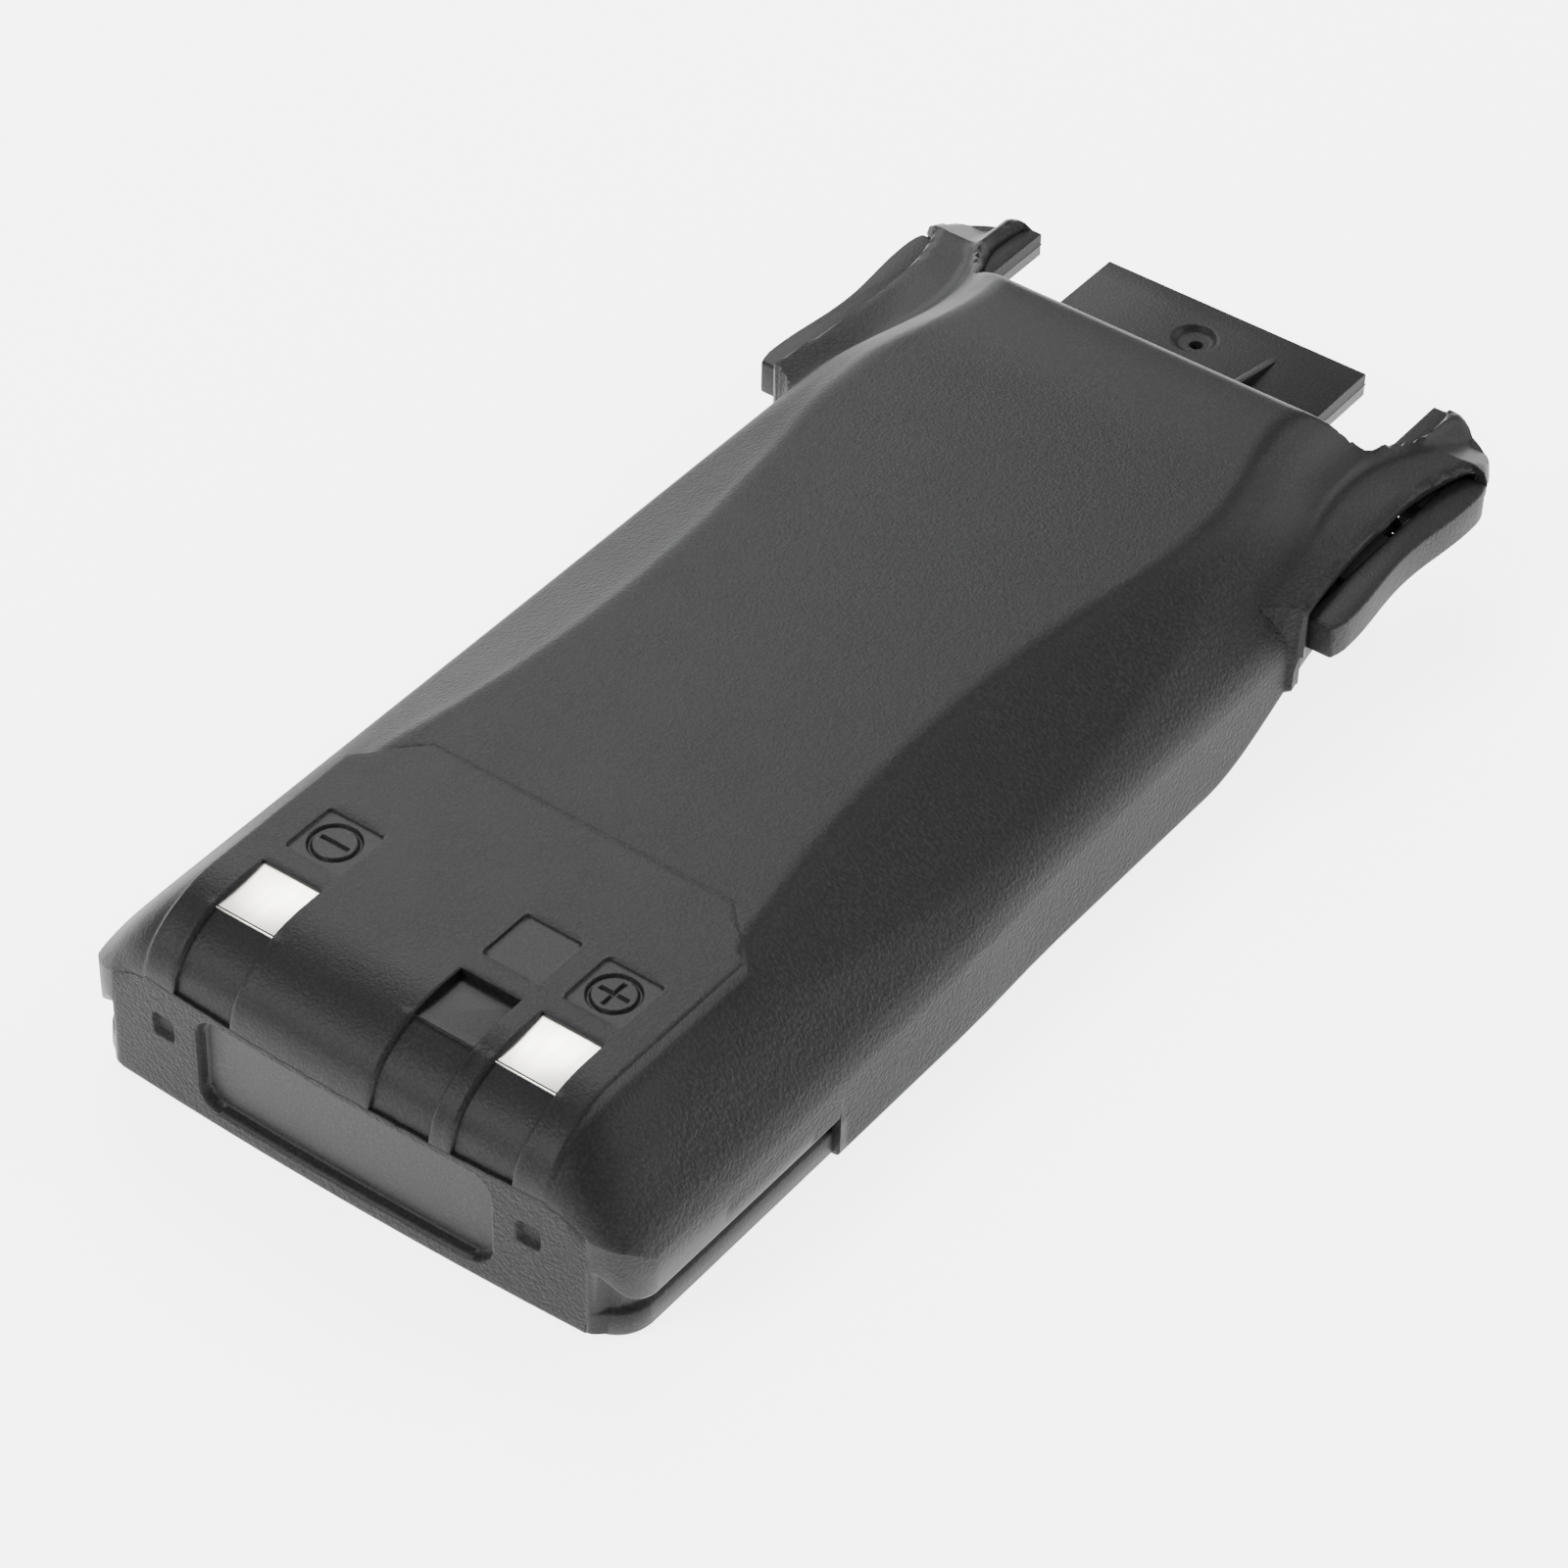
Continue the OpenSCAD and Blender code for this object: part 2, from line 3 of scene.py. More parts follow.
import bmesh
import bpy
from mathutils import Matrix, Vector


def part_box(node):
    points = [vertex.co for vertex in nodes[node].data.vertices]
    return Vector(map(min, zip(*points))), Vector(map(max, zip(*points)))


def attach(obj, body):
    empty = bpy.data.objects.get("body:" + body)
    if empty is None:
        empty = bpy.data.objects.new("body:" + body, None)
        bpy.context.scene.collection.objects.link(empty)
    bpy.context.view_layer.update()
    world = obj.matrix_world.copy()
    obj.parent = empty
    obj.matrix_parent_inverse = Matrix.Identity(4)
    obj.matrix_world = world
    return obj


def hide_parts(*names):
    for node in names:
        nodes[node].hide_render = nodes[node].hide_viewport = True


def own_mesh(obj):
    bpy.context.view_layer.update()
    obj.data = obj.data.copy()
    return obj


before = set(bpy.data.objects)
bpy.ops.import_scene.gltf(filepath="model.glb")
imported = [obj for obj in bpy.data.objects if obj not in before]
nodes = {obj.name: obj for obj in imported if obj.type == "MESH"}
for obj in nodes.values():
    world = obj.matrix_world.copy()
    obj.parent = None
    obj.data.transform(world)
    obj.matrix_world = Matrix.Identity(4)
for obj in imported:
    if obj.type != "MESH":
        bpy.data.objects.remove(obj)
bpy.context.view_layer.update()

mm = 0.001
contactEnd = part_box("back_shell")[0][1] / mm  # y of the contact end, everything below counts from here
print("frame loaded, contact end at", round(contactEnd, 2), "mm")


def clamp(value, low=0.0, high=1.0):
    return max(low, min(high, value))


def ease(value):
    t = clamp(value)
    return t * t * (3 - 2 * t)


def softMin(a, b, blend):
    h = max(blend - abs(a - b), 0) / blend
    return min(a, b) - h * h * blend / 4


def softMax(a, b, blend):
    return -softMin(-a, -b, blend)


def roundRect(x, y, halfX, halfY, radius):
    # distance to the edge of a rounded rectangle, negative inside
    dx, dy = abs(x) - halfX + radius, abs(y) - halfY + radius
    return hypot(max(dx, 0), max(dy, 0)) + min(max(dx, dy), 0) - radius


def middleOf(face):
    return face.calc_center_median()


def cutAt(bm, faces, normal, places):
    # straight cuts through some faces, or through all of them
    for place in places:
        picked = [f for f in bm.faces if faces(f)] if faces else bm.faces[:]
        edges = list({e for f in picked for e in f.edges})
        verts = list({v for f in picked for v in f.verts})
        bmesh.ops.bisect_plane(bm, geom=verts + edges + picked, dist=1e-5,
                               plane_co=Vector(normal) * place, plane_no=normal)


def spread(start, end, step):
    # evenly spaced places, both ends included
    count = max(1, round((end - start) / step))
    return [start + (end - start) * i / count for i in range(count + 1)]


def mergePlaces(fixed, filler, room):
    # feature lines first, then filler lines that keep clear of them
    places = sorted(set(round(p, 4) for p in fixed))
    for p in filler:
        if all(abs(p - q) > room for q in places):
            places.append(p)
    return sorted(places)


def toObject(bm, name, body="root", sharp=38.0):
    # millimetres from the contact end become metres in the shared frame
    bmesh.ops.translate(bm, verts=bm.verts, vec=(0, contactEnd, 0))
    bmesh.ops.scale(bm, verts=bm.verts, vec=(mm, mm, mm))
    for face in bm.faces:
        face.smooth = True
    for edge in bm.edges:
        if len(edge.link_faces) == 2:
            edge.smooth = edge.calc_face_angle(0) < radians(sharp)
    mesh = bpy.data.meshes.new(name)
    bm.to_mesh(mesh)
    bm.free()
    piece = bpy.data.objects.new(name, mesh)
    bpy.context.scene.collection.objects.link(piece)
    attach(piece, body)
    return piece


def hexColour(code):
    # sRGB hex to linear
    parts = [int(code[i:i + 2], 16) / 255 for i in (1, 3, 5)]
    return tuple(p / 12.92 if p <= 0.04045 else ((p + 0.055) / 1.055) ** 2.4 for p in parts) + (1.0,)


def addNode(material, kind, settings=None, **links):
    # one node with its settings, and links from (node, output) to its inputs
    node = material.node_tree.nodes.new(kind)
    for key, value in (settings or {}).items():
        if hasattr(node, key):
            setattr(node, key, value)
        else:
            node.inputs[key].default_value = value
    for key, (source, output) in links.items():
        name = key.replace("_", " ")
        target = node.inputs[int(name[1:])] if name[0] == "i" and name[1:].isdigit() else node.inputs[name]
        material.node_tree.links.new(source.outputs[output], target)
    return node


def addNoise(material, source, width, detail, **more):
    # noise with grains of this width in mm
    settings = dict({"Scale": 1000 / width, "Detail": detail}, **more)
    return addNode(material, "ShaderNodeTexNoise", settings, Vector=source)


def newMaterial(name):
    material = bpy.data.materials.new(name)
    material.use_nodes = True
    material.node_tree.nodes.clear()
    return material


def twoColours(material, colours, factor):
    # a mix of two colours, driven by one output
    shade = addNode(material, "ShaderNodeMix", {"data_type": "RGBA"}, Factor=factor)
    shade.inputs[6].default_value = hexColour(colours[0])
    shade.inputs[7].default_value = hexColour(colours[1])
    return shade


def finishMaterial(material, shader, shade=None):
    if shade:
        material.node_tree.links.new(shade.outputs[2], shader.inputs["Base Color"])
    out = addNode(material, "ShaderNodeOutputMaterial")
    material.node_tree.links.new(shader.outputs[0], out.inputs["Surface"])
    return material


def mouldedAbs(name, colour, lift, grains, roughness, strength):
    # moulded ABS: black pigment, and a spark-eroded texture that breaks the highlight into fine specks
    # the grain attribute goes from 0, polished steel, to 1, the coarse texture of the sides
    # the texture hides most of the gloss, so the specular level is low for its IOR
    m = newMaterial(name)
    place = addNode(m, "ShaderNodeTexCoord")
    texture = addNode(m, "ShaderNodeAttribute", {"attribute_name": "grain"})
    fine, coarse, cloud = grains  # grain widths in mm, and the slow drift of the colour
    pits = addNoise(m, (place, "Object"), fine, 1.5, Roughness=0.5)
    pebbles = addNoise(m, (place, "Object"), coarse, 2.0, Roughness=0.6)
    drift = addNoise(m, (place, "Object"), cloud, 2.0)
    relief = addNode(m, "ShaderNodeMix", {"data_type": "FLOAT"}, Factor=(texture, "Fac"), A=(pits, "Fac"),
                     B=(pebbles, "Fac"))
    specks = addNode(m, "ShaderNodeMapRange", {"From Min": 0.42, "From Max": 0.72}, Value=(relief, "Result"))
    toned = addNode(m, "ShaderNodeMath", {"operation": "MULTIPLY"}, i0=(specks, "Result"), i1=(drift, "Fac"))
    shade = twoColours(m, (colour, lift), (toned, "Value"))
    depth = addNode(m, "ShaderNodeMath", {"operation": "MULTIPLY_ADD"}, i0=(texture, "Fac"))
    depth.inputs[1].default_value = strength
    depth.inputs[2].default_value = 0.08
    bump = addNode(m, "ShaderNodeBump", {"Distance": 0.0002}, Strength=(depth, "Value"),
                   Height=(relief, "Result"))
    matt = addNode(m, "ShaderNodeMapRange", {"To Min": roughness - 0.12, "To Max": roughness + 0.08},
                   Value=(texture, "Fac"))
    rubbed = addNode(m, "ShaderNodeMath", {"operation": "MULTIPLY_ADD"}, i0=(drift, "Fac"),
                     i2=(matt, "Result"))
    rubbed.inputs[1].default_value = 0.08
    shader = addNode(m, "ShaderNodeBsdfPrincipled", {"IOR": 1.5, "Specular IOR Level": 0.13},
                     Normal=(bump, "Normal"), Roughness=(rubbed, "Value"))
    return finishMaterial(m, shader, shade)


def plainFinish(name, colours, roughness, metallic=0.0, grain=0.4, strength=0.1, stretch=(1, 1, 1), **extra):
    # two close colours that drift into each other, over a fine surface relief whose grain width is in mm
    m = newMaterial(name)
    place = addNode(m, "ShaderNodeTexCoord")
    lay = addNode(m, "ShaderNodeMapping", {"Scale": stretch}, Vector=(place, "Object"))
    relief = addNoise(m, (lay, "Vector"), grain, 3.0)
    drift = addNoise(m, (lay, "Vector"), grain * 14, 2.0)
    tone = addNode(m, "ShaderNodeMix", {"data_type": "FLOAT", "Factor": 0.35}, A=(drift, "Fac"),
                   B=(relief, "Fac"))
    wider = addNode(m, "ShaderNodeMapRange", {"From Min": 0.35, "From Max": 0.65}, Value=(tone, "Result"))
    shade = twoColours(m, colours, (wider, "Result"))
    bump = addNode(m, "ShaderNodeBump", {"Strength": strength, "Distance": 0.00006}, Height=(relief, "Fac"))
    rough = addNode(m, "ShaderNodeMapRange",
                    {"To Min": max(0.03, roughness - 0.06), "To Max": roughness + 0.06},
                    Value=(relief, "Fac"))
    shader = addNode(m, "ShaderNodeBsdfPrincipled", dict({"Metallic": metallic}, **extra),
                     Normal=(bump, "Normal"), Roughness=(rough, "Result"))
    return finishMaterial(m, shader, shade)


def wovenBoard(name, mask, glass, thread):
    # FR4 circuit board: green solder mask over glass cloth, whose weave just shows through as a soft check
    m = newMaterial(name)
    place = addNode(m, "ShaderNodeTexCoord")
    waves = []
    for way in "XY":
        waves.append(addNode(m, "ShaderNodeTexWave", {"Scale": 1000 / thread / 20, "Distortion": 0.6,
                                                      "bands_direction": way}, Vector=(place, "Object")))
    weave = addNode(m, "ShaderNodeMath", {"operation": "MULTIPLY"}, i0=(waves[0], "Fac"),
                    i1=(waves[1], "Fac"))
    shade = twoColours(m, (mask, glass), (weave, "Value"))
    bump = addNode(m, "ShaderNodeBump", {"Strength": 0.15, "Distance": 0.00003}, Height=(weave, "Value"))
    rough = addNode(m, "ShaderNodeMapRange", {"To Min": 0.28, "To Max": 0.4}, Value=(weave, "Value"))
    shader = addNode(m, "ShaderNodeBsdfPrincipled", {"IOR": 1.5}, Normal=(bump, "Normal"),
                     Roughness=(rough, "Result"))
    return finishMaterial(m, shader, shade)


shellAbs = mouldedAbs("moulded ABS shell", "#121213", "#252527", (0.24, 0.34, 6.0), 0.5, 0.8)
# the buttons come from a mould of their own, a shade lighter and more satin
buttonAbs = mouldedAbs("moulded ABS button", "#131314", "#262628", (0.22, 0.36, 5.0), 0.48, 0.6)
# moulded ABS of the radio side: satin black with a very fine even spark texture
coverAbs = plainFinish("moulded ABS cover", ("#161617", "#202022"), 0.5, grain=0.3, strength=0.35, IOR=1.5)
# rolled nickel strip: bright, with faint lines along the rolling direction
brightNickel = plainFinish("bright rolled nickel", ("#f2f0ea", "#dedbd2"), 0.3, 1.0, 0.5, 0.05, (1, 0.1, 1))
# nickel welded inside: duller, a little yellow
stripNickel = plainFinish("rolled nickel strip", ("#cfcabd", "#b5b0a2"), 0.35, 1.0, 0.4, 0.08, (0.15, 1, 1))
# drawn steel wire: grey and bright, with hair-fine marks from the die
springSteel = plainFinish("drawn spring steel", ("#a9abad", "#85878a"), 0.3, 1.0, 0.2, 0.08)
# blue heat-shrink film drawn tight over the cell: glossy with slight ripples
cellFilm = plainFinish("blue shrink film", ("#2c5b9c", "#264f88"), 0.25, grain=1.2, strength=0.2, IOR=1.5)
boardGreen = wovenBoard("FR4 with solder mask", "#0d3a22", "#1b5232", 0.5)
# moulded epoxy: near black and dull, with a sandy feel
chipEpoxy = plainFinish("moulded epoxy chip", ("#141415", "#1d1d1f"), 0.55, grain=0.15, strength=0.25,
                        IOR=1.55)
# fired ceramic: an even beige with a soft sheen
ceramicBeige = plainFinish("fired ceramic part", ("#9c8462", "#8a7352"), 0.4, grain=0.2, strength=0.1,
                           IOR=1.6)
# moulded nylon case of the cut-off: plain mid grey, satin
cutoffCase = plainFinish("moulded grey cut-off case", ("#8a8985", "#7d7c78"), 0.5, grain=0.3, strength=0.2,
                         IOR=1.5)
# gold plating: warm and nearly mirror-like, slightly uneven
contactGold = plainFinish("gold plated contact", ("#e3b755", "#cf9f3e"), 0.22, 1.0, 0.3, 0.05)
# glass-filled nylon: black and matt, with a faint cloud from the fibres
blockNylon = plainFinish("moulded nylon block", ("#202021", "#2a2a2b"), 0.6, grain=0.4, strength=0.2,
                         IOR=1.53)
# pressed fibre: dull and grey-green, like card
fibreSheet = plainFinish("pressed fibre sheet", ("#6f7a70", "#5f6a61"), 0.8, grain=0.35, strength=0.5,
                         IOR=1.5)
# cut foam: no gloss at all, open pores
blackFoam = plainFinish("cut polyurethane foam", ("#2b2b2d", "#3a3a3c"), 0.95, grain=0.5, strength=1.0,
                        IOR=1.4)
# polyimide tape: amber and glossy
amberTape = plainFinish("amber polyimide tape", ("#8a5a17", "#a26d20"), 0.3, grain=0.6, strength=0.08,
                        IOR=1.6)
# polyester label: pale grey, an even low sheen
labelFilm = plainFinish("matt polyester label", ("#c6c7c8", "#b9babb"), 0.5, grain=0.5, strength=0.06,
                        IOR=1.6)
print("materials ready")


# millimetres, along the pack from the contact end, across from the middle, up from the radio side
shell = {
    "length": 107.2,  # contact end to upper end wall
    "side": 26.3, "waist": 0.4,  # half width, and how much narrower the far part is
    "waistFrom": 42, "waistRun": 14,
    "sidePlaces": (10, 30, 42, 46, 49, 52, 56, 70),
    "flat": 17.6, "cornerRadius": 4.0,
    "bow": 0.75,  # how far the contact end bows out
    "rollLength": 9.0, "parting": 11.5,  # the back rolls over to the parting line of the contact end
    "rollPower": 1.5,  # how tightly the roll and the shoulder run together
    "shoulder": (25.9, 9.6, 1.32),  # a point on the shoulder and its slope
    "upperShoulder": (19.3, 16.6, 0.55),  # the same for its flatter upper part
    "edgeRadius": 5.27, "edgeFoot": 7.3,  # rounding from the shoulder into the side
    "facetSlope": 30, "facetCrest": 14.5, "facetMiddle": 54.0, "facetBend": 260.0,
    "facetBlend": 0.35, "shoulderBlend": 1.5, "crestBlend": 0.4,
    "capFrom": 100, "capBlend": 0.35,  # from here on the upper end shapes the back
    "roofEnd": 14.6, "roofRound": 3.0, "roofRoundFrom": 104.2,
    "panelHalf": 18.95, "panelLength": 28.4, "panelCut": 4.6, "channelDepth": 0.35,
    "panelRise": (0.1, 0.55), "panelGroove": (0.06, 0.25, 0.14),
    "windows": (-13.3, 5.71, 13.3), "windowHalf": 2.8, "windowNear": 5.5, "windowFar": 10.9,
    "windowDepth": 0.35, "blankRise": 0.25,
    "tagNear": 13.05, "tagFar": 18.4, "tagHalf": 2.8, "tagDepth": 0.24,
    "contactHeight": (16.9, 17.36),  # near and far edge of the sloping contacts
    "recess": (6.28, 14.0, 4.45, 2.0), "recessDepth": 0.9,  # height, half sizes, corner radius
    "dimple": (17.47, 7.46, 0.95, 0.25), "dimpleDepth": 0.5,  # place, half size, corner radius
    "stepStart": 77.0, "stepRun": 20.0, "stepHeight": 6.5,
    "slotLength": 26.4, "slotStart": 22.7, "slotTop": 3.9, "wall": 1.6, "returnHeight": 2.2,
    "grid": 0.55, "rimRows": (0.03, 0.07, 0.12, 0.2, 0.28, 0.35), "wallRows": 15,
}
# the wings over the release buttons and the horns past the upper end wall, measured in the same way
wing = {
    "from": 19, "front": (-0.533, 0.846, 60.75),  # inner limit, slanted line where the wing starts
    "nose": 26.9,  # half width at the slanted front
    "lip": (25.72, 102.5, 0.0062), "lipFlare": (105, 0.015), "lipEnd": 113.35,
    "lipLow": 11.7, "lipRound": 0.4, "lipDrop": 0.3,
    "flange": 13.0, "flangeFront": (0.25, 0.8), "flangeSag": (0.2, 106, 7), "tipFall": 0.42,
    "flangeBlend": 0.7,
    "pocketStart": 89.25, "pocketWall": 23.98, "deepWall": 22.6, "pocketFloor": 7.8, "pocketRoof": 11.3,
    "pocketMiddle": 9.65, "pocketEnd": 0.13,
    "shoulderIn": (2.7, 88.5, 15.5), "shoulderOut": (0.035, 104.5, 113),
    "ridge": (13.45, 2.2, 113, 5.8), "dome": (1.45, 6.6), "ridgeFoot": (6, 17, 2.6), "ridgeBlend": 0.4,
    "hornTop": 12.0, "hornCentre": (21.2, 111.2), "hornRadius": 8.0, "hornSteps": 14,
    "hornEdge": (11.3, 0.7, 114.5, 4), "hornRound": 2.4, "hornBlend": 0.4, "hornFoot": 11.1,
    "wallFrom": 23, "hornWall": (20.2, 24),  # half widths where the wing's and horn's walls apply
    # inner edge of a horn: half width, place along the pack, height
    "innerLine": ((18.0, 107.2, 15.9), (18.8, 107.28, 15.9), (19.5, 107.5, 15.7), (20.1, 107.95, 15.4),
                  (20.45, 108.55, 15.0), (20.68, 109.3, 14.4), (20.82, 110.2, 13.6), (20.98, 111.1, 12.8),
                  (21.25, 112.1, 12.05), (21.58, 113.0, 12.0), (21.85, 113.8, 12.0), (22.0, 114.8, 12.0),
                  (21.97, 115.8, 12.0), (21.91, 117.2, 12.0), (21.74, 118.4, 12.0), (21.3, 119.2, 12.0)),
    "innerSlope": 1.9, "innerLift": 0.08, "innerBlend": 0.3,
}


def bowAt(x):
    return shell["bow"] * (x / shell["side"]) ** 2


def sideAt(y):
    return shell["side"] - shell["waist"] * ease((y - shell["waistFrom"]) / shell["waistRun"])


def lipAt(y):
    # outer edge of the lip over a release button, seen from above
    closest, middle, bend = wing["lip"]
    flareFrom, flare = wing["lipFlare"]
    return closest + bend * (y - middle) ** 2 + flare * max(0, y - flareFrom) ** 2


def frontAt(ax, y):
    # distance past the slanted line where the wing starts
    across, along, offset = wing["front"]
    return across * ax + along * y - offset


def shoulderShift(y):
    # the shoulder moves in between the wings, and out again along the horns
    depth, start, run = wing["shoulderIn"]
    bend, outFrom, outTo = wing["shoulderOut"]
    return depth * ease((y - start) / run) - bend * (clamp(y, outFrom, outTo) - outFrom) ** 2


def capHeight(ax, y):
    # the back rounds over into the upper end wall, and runs on as the ridges of the horns
    crest = shell["roofEnd"] + sqrt(max(0, shell["roofRound"] ** 2 - max(0, y - shell["roofRoundFrom"]) ** 2))
    # clear of the flat back before the rounding, and falling away past the wall
    crest += 0.14 * max(0, shell["roofRoundFrom"] + 0.2 - y)
    crest -= 3 * max(0, y - shell["length"])
    top, bend, peak, run = wing["ridge"]
    if y < peak:
        ridge = top + bend * ((peak - y) / run) ** 2
    else:
        rise, length = wing["dome"]
        ridge = wing["hornTop"] + rise * sqrt(max(0, 1 - ((y - peak) / length) ** 2))
    fall, inner, width = wing["ridgeFoot"]
    return softMax(crest, ridge - fall * (1 - ease((ax - inner) / width)), wing["ridgeBlend"])


def innerEdge(y):
    # half width and height of the horn's inner edge, which sweeps from the end wall down to the plate
    line = wing["innerLine"]
    for (x0, y0, z0), (x1, y1, z1) in zip(line, line[1:]):
        if y < y1 or y1 == line[-1][1]:
            t = clamp((y - y0) / (y1 - y0))
            return x0 + (x1 - x0) * t, z0 + (z1 - z0) * t


def flangeHeight(ax, y):
    # the flat of the wing, a little lower at its front and past the lip
    frontDrop, frontRun = wing["flangeFront"]
    sag, sagFrom, sagRun = wing["flangeSag"]
    flange = wing["flange"] - frontDrop * exp(-frontAt(ax, y) / frontRun) - sag * ease((y - sagFrom) / sagRun)
    return flange - wing["tipFall"] * max(0, y - wing["lipEnd"])


def wingHeight(top, ax, y):
    # flange, inner slope and outer arc of the horn, and the rounded edge of the lip
    top = softMax(top, flangeHeight(ax, y), wing["flangeBlend"])
    if y > shell["length"]:
        innerX, innerZ = innerEdge(y)
        slope = innerZ + wing["innerLift"] + wing["innerSlope"] * (ax - innerX)
        top = softMin(top, slope, wing["innerBlend"])
    if y > wing["lipEnd"]:
        toArc = wing["hornRadius"] - hypot(ax - wing["hornCentre"][0], y - wing["hornCentre"][1])
        foot, lift, liftFrom, liftRun = wing["hornEdge"]
        edge = foot + lift * ease((y - liftFrom) / liftRun) + sqrt(max(0, wing["hornRound"] * toArc))
        top = softMin(top, edge, wing["hornBlend"])
    over = (ax - lipAt(y) + wing["lipRound"]) / wing["lipRound"]
    if over > 0 and y < wing["lipEnd"] + 0.1:
        top -= wing["lipDrop"] * (1 - sqrt(clamp(1 - over * over)))
    return top


def panelEdge(x, y):
    # distance outside the contact panel, negative inside
    side = abs(x) - shell["panelHalf"]
    far = y - shell["panelLength"]
    corner = (side + far + shell["panelCut"]) / sqrt(2)
    return max(side, far, corner)


def crestAt(y):
    return shell["facetCrest"] + (y - shell["facetMiddle"]) ** 2 / shell["facetBend"]


def bodyHeight(ax, y):
    # flat back, scalloped facet and shoulder, then the upper end or the wing
    px, pz, slope = shell["shoulder"]
    upperX, upperZ, upperSlope = shell["upperShoulder"]
    shift = shoulderShift(y)
    low = pz + slope * (px - shift - ax)
    high = upperZ - upperSlope * (ax + shift - upperX)
    facet = shell["flat"] - tan(radians(shell["facetSlope"])) * (ax - crestAt(y))
    top = softMin(softMin(shell["flat"], facet, shell["facetBlend"]),
                  softMin(low, high, shell["shoulderBlend"]), shell["crestBlend"])
    onWing = frontAt(ax, y) > 0 and ax > wing["from"]
    if not onWing:
        side = sideAt(y)
        d = max(0.0, side - ax)
        r = shell["edgeRadius"]
        if d < r * (1 - slope / hypot(1, slope)):
            top = shell["edgeFoot"] + slope * (shell["side"] - side) + sqrt(max(0, 2 * r * d - d * d))
    if y > shell["capFrom"]:
        top = softMin(top, capHeight(ax, y), shell["capBlend"])
    return wingHeight(top, ax, y) if onWing else top


def backHeight(x, y):
    # the body, rolled over at the contact end and with the contact panel standing proud
    flat, length, power = shell["flat"], shell["rollLength"], shell["rollPower"]
    top = bodyHeight(abs(x), y)
    near = y - bowAt(x) * (1 - y / length) if y < length else y
    if near > length and y > shell["panelLength"] + 2:
        return top
    k = clamp(1 - near / length)
    roll = (flat - shell["parting"]) * (1 - sqrt(1 - k * k))
    drop = max(flat - top, 0)
    outside = flat - (drop ** power + roll ** power) ** (1 / power)
    edge = panelEdge(x, y)
    ahead, rise = shell["panelRise"]
    height = flat - roll + (outside - flat + roll) * ease((edge + ahead) / rise)
    if y > shell["panelLength"] - 2 or edge > 0.3:
        depth, middle, width = shell["panelGroove"]
        height -= depth * exp(-((edge - middle) / width) ** 2)
    return height


def hornArc(startY, radius):
    # points on the outer arc of a horn, from a place along the pack to its tip
    cx, cy = wing["hornCentre"]
    start = asin((startY - cy) / radius)
    steps = wing["hornSteps"]
    angles = [start + (pi / 2 - start) * i / steps for i in range(steps + 1)]
    return [(cx + radius * cos(a), cy + radius * sin(a)) for a in angles]


def backOutline():
    # right half from the contact end round to the upper end wall, then its mirror image
    r = shell["cornerRadius"]
    turn = shell["side"] - r
    half = [(turn * i / 8, bowAt(turn * i / 8)) for i in range(9)]
    half += [(turn + r * sin(radians(a)), bowAt(turn) + r * (1 - cos(radians(a)))) for a in range(7, 91, 7)]
    half += [(sideAt(y), y) for y in shell["sidePlaces"]]
    across, along, offset = wing["front"]
    frontY = lambda x, gap: (offset + gap - across * x) / along
    side = sideAt(wing["pocketStart"])
    half += [(side, frontY(side, -0.02)), (wing["nose"], frontY(wing["nose"], 0.02))]
    half += [(lipAt(y), y) for y in spread(wing["pocketStart"] - 0.02, wing["lipEnd"], 1.1)]
    half += hornArc(wing["lipEnd"] + 0.45, wing["hornRadius"])
    half += [(x, y) for x, y, z in reversed(wing["innerLine"][:-1])]
    half += [(x, shell["length"]) for x in (16.6, 8)]
    left = [(-x, y) for x, y in reversed(half[1:])]
    return half + [(0, shell["length"])] + left


def inChannel(x, y):
    return y < shell["windowNear"] - 0.01 and any(
        abs(x - w) < shell["windowHalf"] - 0.01 for w in shell["windows"])


def stepRise(y):
    t = clamp((y - shell["stepStart"]) / shell["stepRun"])
    return shell["stepHeight"] * (1 - cos(pi * t)) / 2


def hornWall(ax, rim):
    # the low rim of a horn, down to the plate under it
    low = min(wing["hornTop"] - 0.02, rim)
    foot = min(low, wing["hornFoot"]) if ax > wing["wallFrom"] else low
    return [(0.0, low - (low - foot) * k / 13) for k in range(14)] + [(0.06, foot - 0.05)]


def wingWall(ax, y, rim, base):
    # the lip, the button's pocket under it, and the side wall below the pocket
    under, middle, floorZ = wing["lipLow"], wing["pocketMiddle"], wing["pocketFloor"]
    out = ax - sideAt(y)
    inner = ax - wing["pocketWall"]
    lip = [(0.0, rim - 0.25), (0.05, under + 0.25), (0.3, under)]
    if y < wing["pocketStart"]:
        rows = [(0.0, rim - 0.25), (0.0, under + 0.25), (0.0, under), (0.0, under - 0.02), (0.0, middle),
                (0.0, floorZ), (out, floorZ - 0.4)]
    elif y < shell["length"] - wing["pocketEnd"]:
        rows = lip + [(inner, under - 0.02), (inner, middle), (inner, floorZ), (out, floorZ - 0.02)]
    else:
        # no pocket at the very tip, where the lip turns into the arc of the horn
        deep = ax - wing["deepWall"] if y < wing["lipEnd"] - 0.3 else 0.35
        return lip + [(deep, under - 0.02)] + [(deep, wing["pocketRoof"])] * 11
    drop = base + 0.35 - floorZ + 0.1
    rows += [(out, floorZ - 0.1 + drop * t) for t in (0.25, 0.5, 0.75)]
    foot = min(base + shell["returnHeight"], floorZ - 0.3)
    return rows + [(out, base + 0.35), (out + 0.1, base + 0.1), (out + 0.35, base),
                   (out + shell["wall"], base), (out + shell["wall"], foot)]


